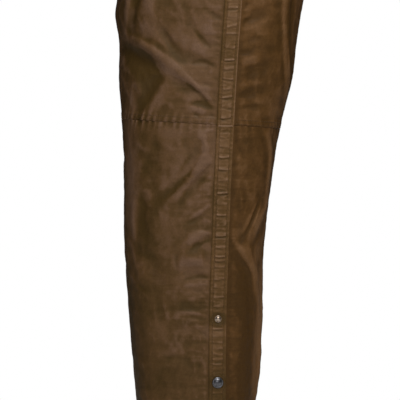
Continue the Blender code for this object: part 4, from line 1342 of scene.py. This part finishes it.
# Each panel's and strip's cut: its widest width, its length and its area, in metres
Cut = namedtuple("Cut", "piece node slot width length area")
CUTS = [
    Cut(front_upper, "front_upper", "waxed_cloth", 0.445, 0.285, 0.103),
    Cut(front_lower, "front_lower", "waxed_cloth", 0.360, 0.487, 0.146),
    Cut(back_upper, "back_upper", "waxed_cloth", 0.345, 0.285, 0.088),
    Cut(back_lower, "back_lower", "waxed_cloth", 0.270, 0.480, 0.115),
    Cut(placket_upper, "placket_upper", "waxed_trim", 0.025, 0.287, None),
    Cut(placket_lower, "placket_lower", "waxed_trim", 0.025, 0.478, None),
    Cut(underlap_upper, "underlap_upper", "waxed_cloth", 0.029, 0.287, None),
    Cut(underlap_lower, "underlap_lower", "waxed_cloth", 0.029, 0.478, None),
    Cut(belt_loop, "belt_loop", "waxed_trim", 0.051, 0.262, None),
]
for cut in CUTS:
    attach(cut.piece, "root")
    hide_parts(cut.node)
for piece, node, slot in metal_pieces:
    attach(piece, "root")
    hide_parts(node)
for piece in sewing:
    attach(piece, "root")

# ---------------------------------------------------------------- studio

scene = bpy.context.scene
scene.view_settings.view_transform = "Standard"


def leg_place(across, out, height):
    return Vector((np.array([across, out, height]) + PLUMB_LINE) * MM)


def aimed(thing, name, place, target):
    """An object for a camera or a light, aimed at a target."""
    made = bpy.data.objects.new(name, thing)
    scene.collection.objects.link(made)
    made.location = place
    made.rotation_euler = (target - place).to_track_quat("-Z", "Y").to_euler()
    return made


middle = leg_place(FRAME_MIDDLE[0], 0, FRAME_MIDDLE[1])
camera = bpy.data.cameras.new("camera")
camera.sensor_width = SENSOR
camera.lens = SENSOR * CAMERA_DISTANCE / FRAME_WIDTH
scene.camera = aimed(camera, "camera", leg_place(FRAME_MIDDLE[0], -CAMERA_DISTANCE, FRAME_MIDDLE[1]), middle)

for name, place, width, height, power in LIGHTS:
    light = bpy.data.lights.new(name, "AREA")
    light.shape = "RECTANGLE"
    light.size = width
    light.size_y = height
    light.energy = power
    aimed(light, name, leg_place(*place), middle)

world = bpy.data.worlds.new("studio")
scene.world = world
world.use_nodes = True
tree = world.node_tree
seen = tree.nodes["Background"]
seen.inputs["Color"].default_value = (1, 1, 1, 1)
seen.inputs["Strength"].default_value = 1.0
around = node_of(tree, "ShaderNodeBackground", Color=(1.0, 0.98, 0.96, 1))
rays = tree.nodes.new("ShaderNodeLightPath")
tree.links.new(ranged(tree, rays.outputs["Is Diffuse Ray"], 0, 1, 0.015, 0.055), around.inputs["Strength"])
chosen = tree.nodes.new("ShaderNodeMixShader")
tree.links.new(rays.outputs["Is Camera Ray"], chosen.inputs[0])
tree.links.new(around.outputs[0], chosen.inputs[1])
tree.links.new(seen.outputs[0], chosen.inputs[2])
tree.links.new(chosen.outputs[0], tree.nodes["World Output"].inputs["Surface"])

paper, _, paper_shader = new_finish("pale paper")
paper_shader.inputs["Base Color"].default_value = (0.74, 0.74, 0.73, 1)
paper_shader.inputs["Roughness"].default_value = 0.9
bm = bmesh.new()
bmesh.ops.create_grid(bm, x_segments=1, y_segments=1, size=FLOOR_HALF)
bmesh.ops.translate(bm, verts=bm.verts, vec=leg_place(0, 0, -FLOOR_DROP))
floor = as_piece("floor", bm, paper)
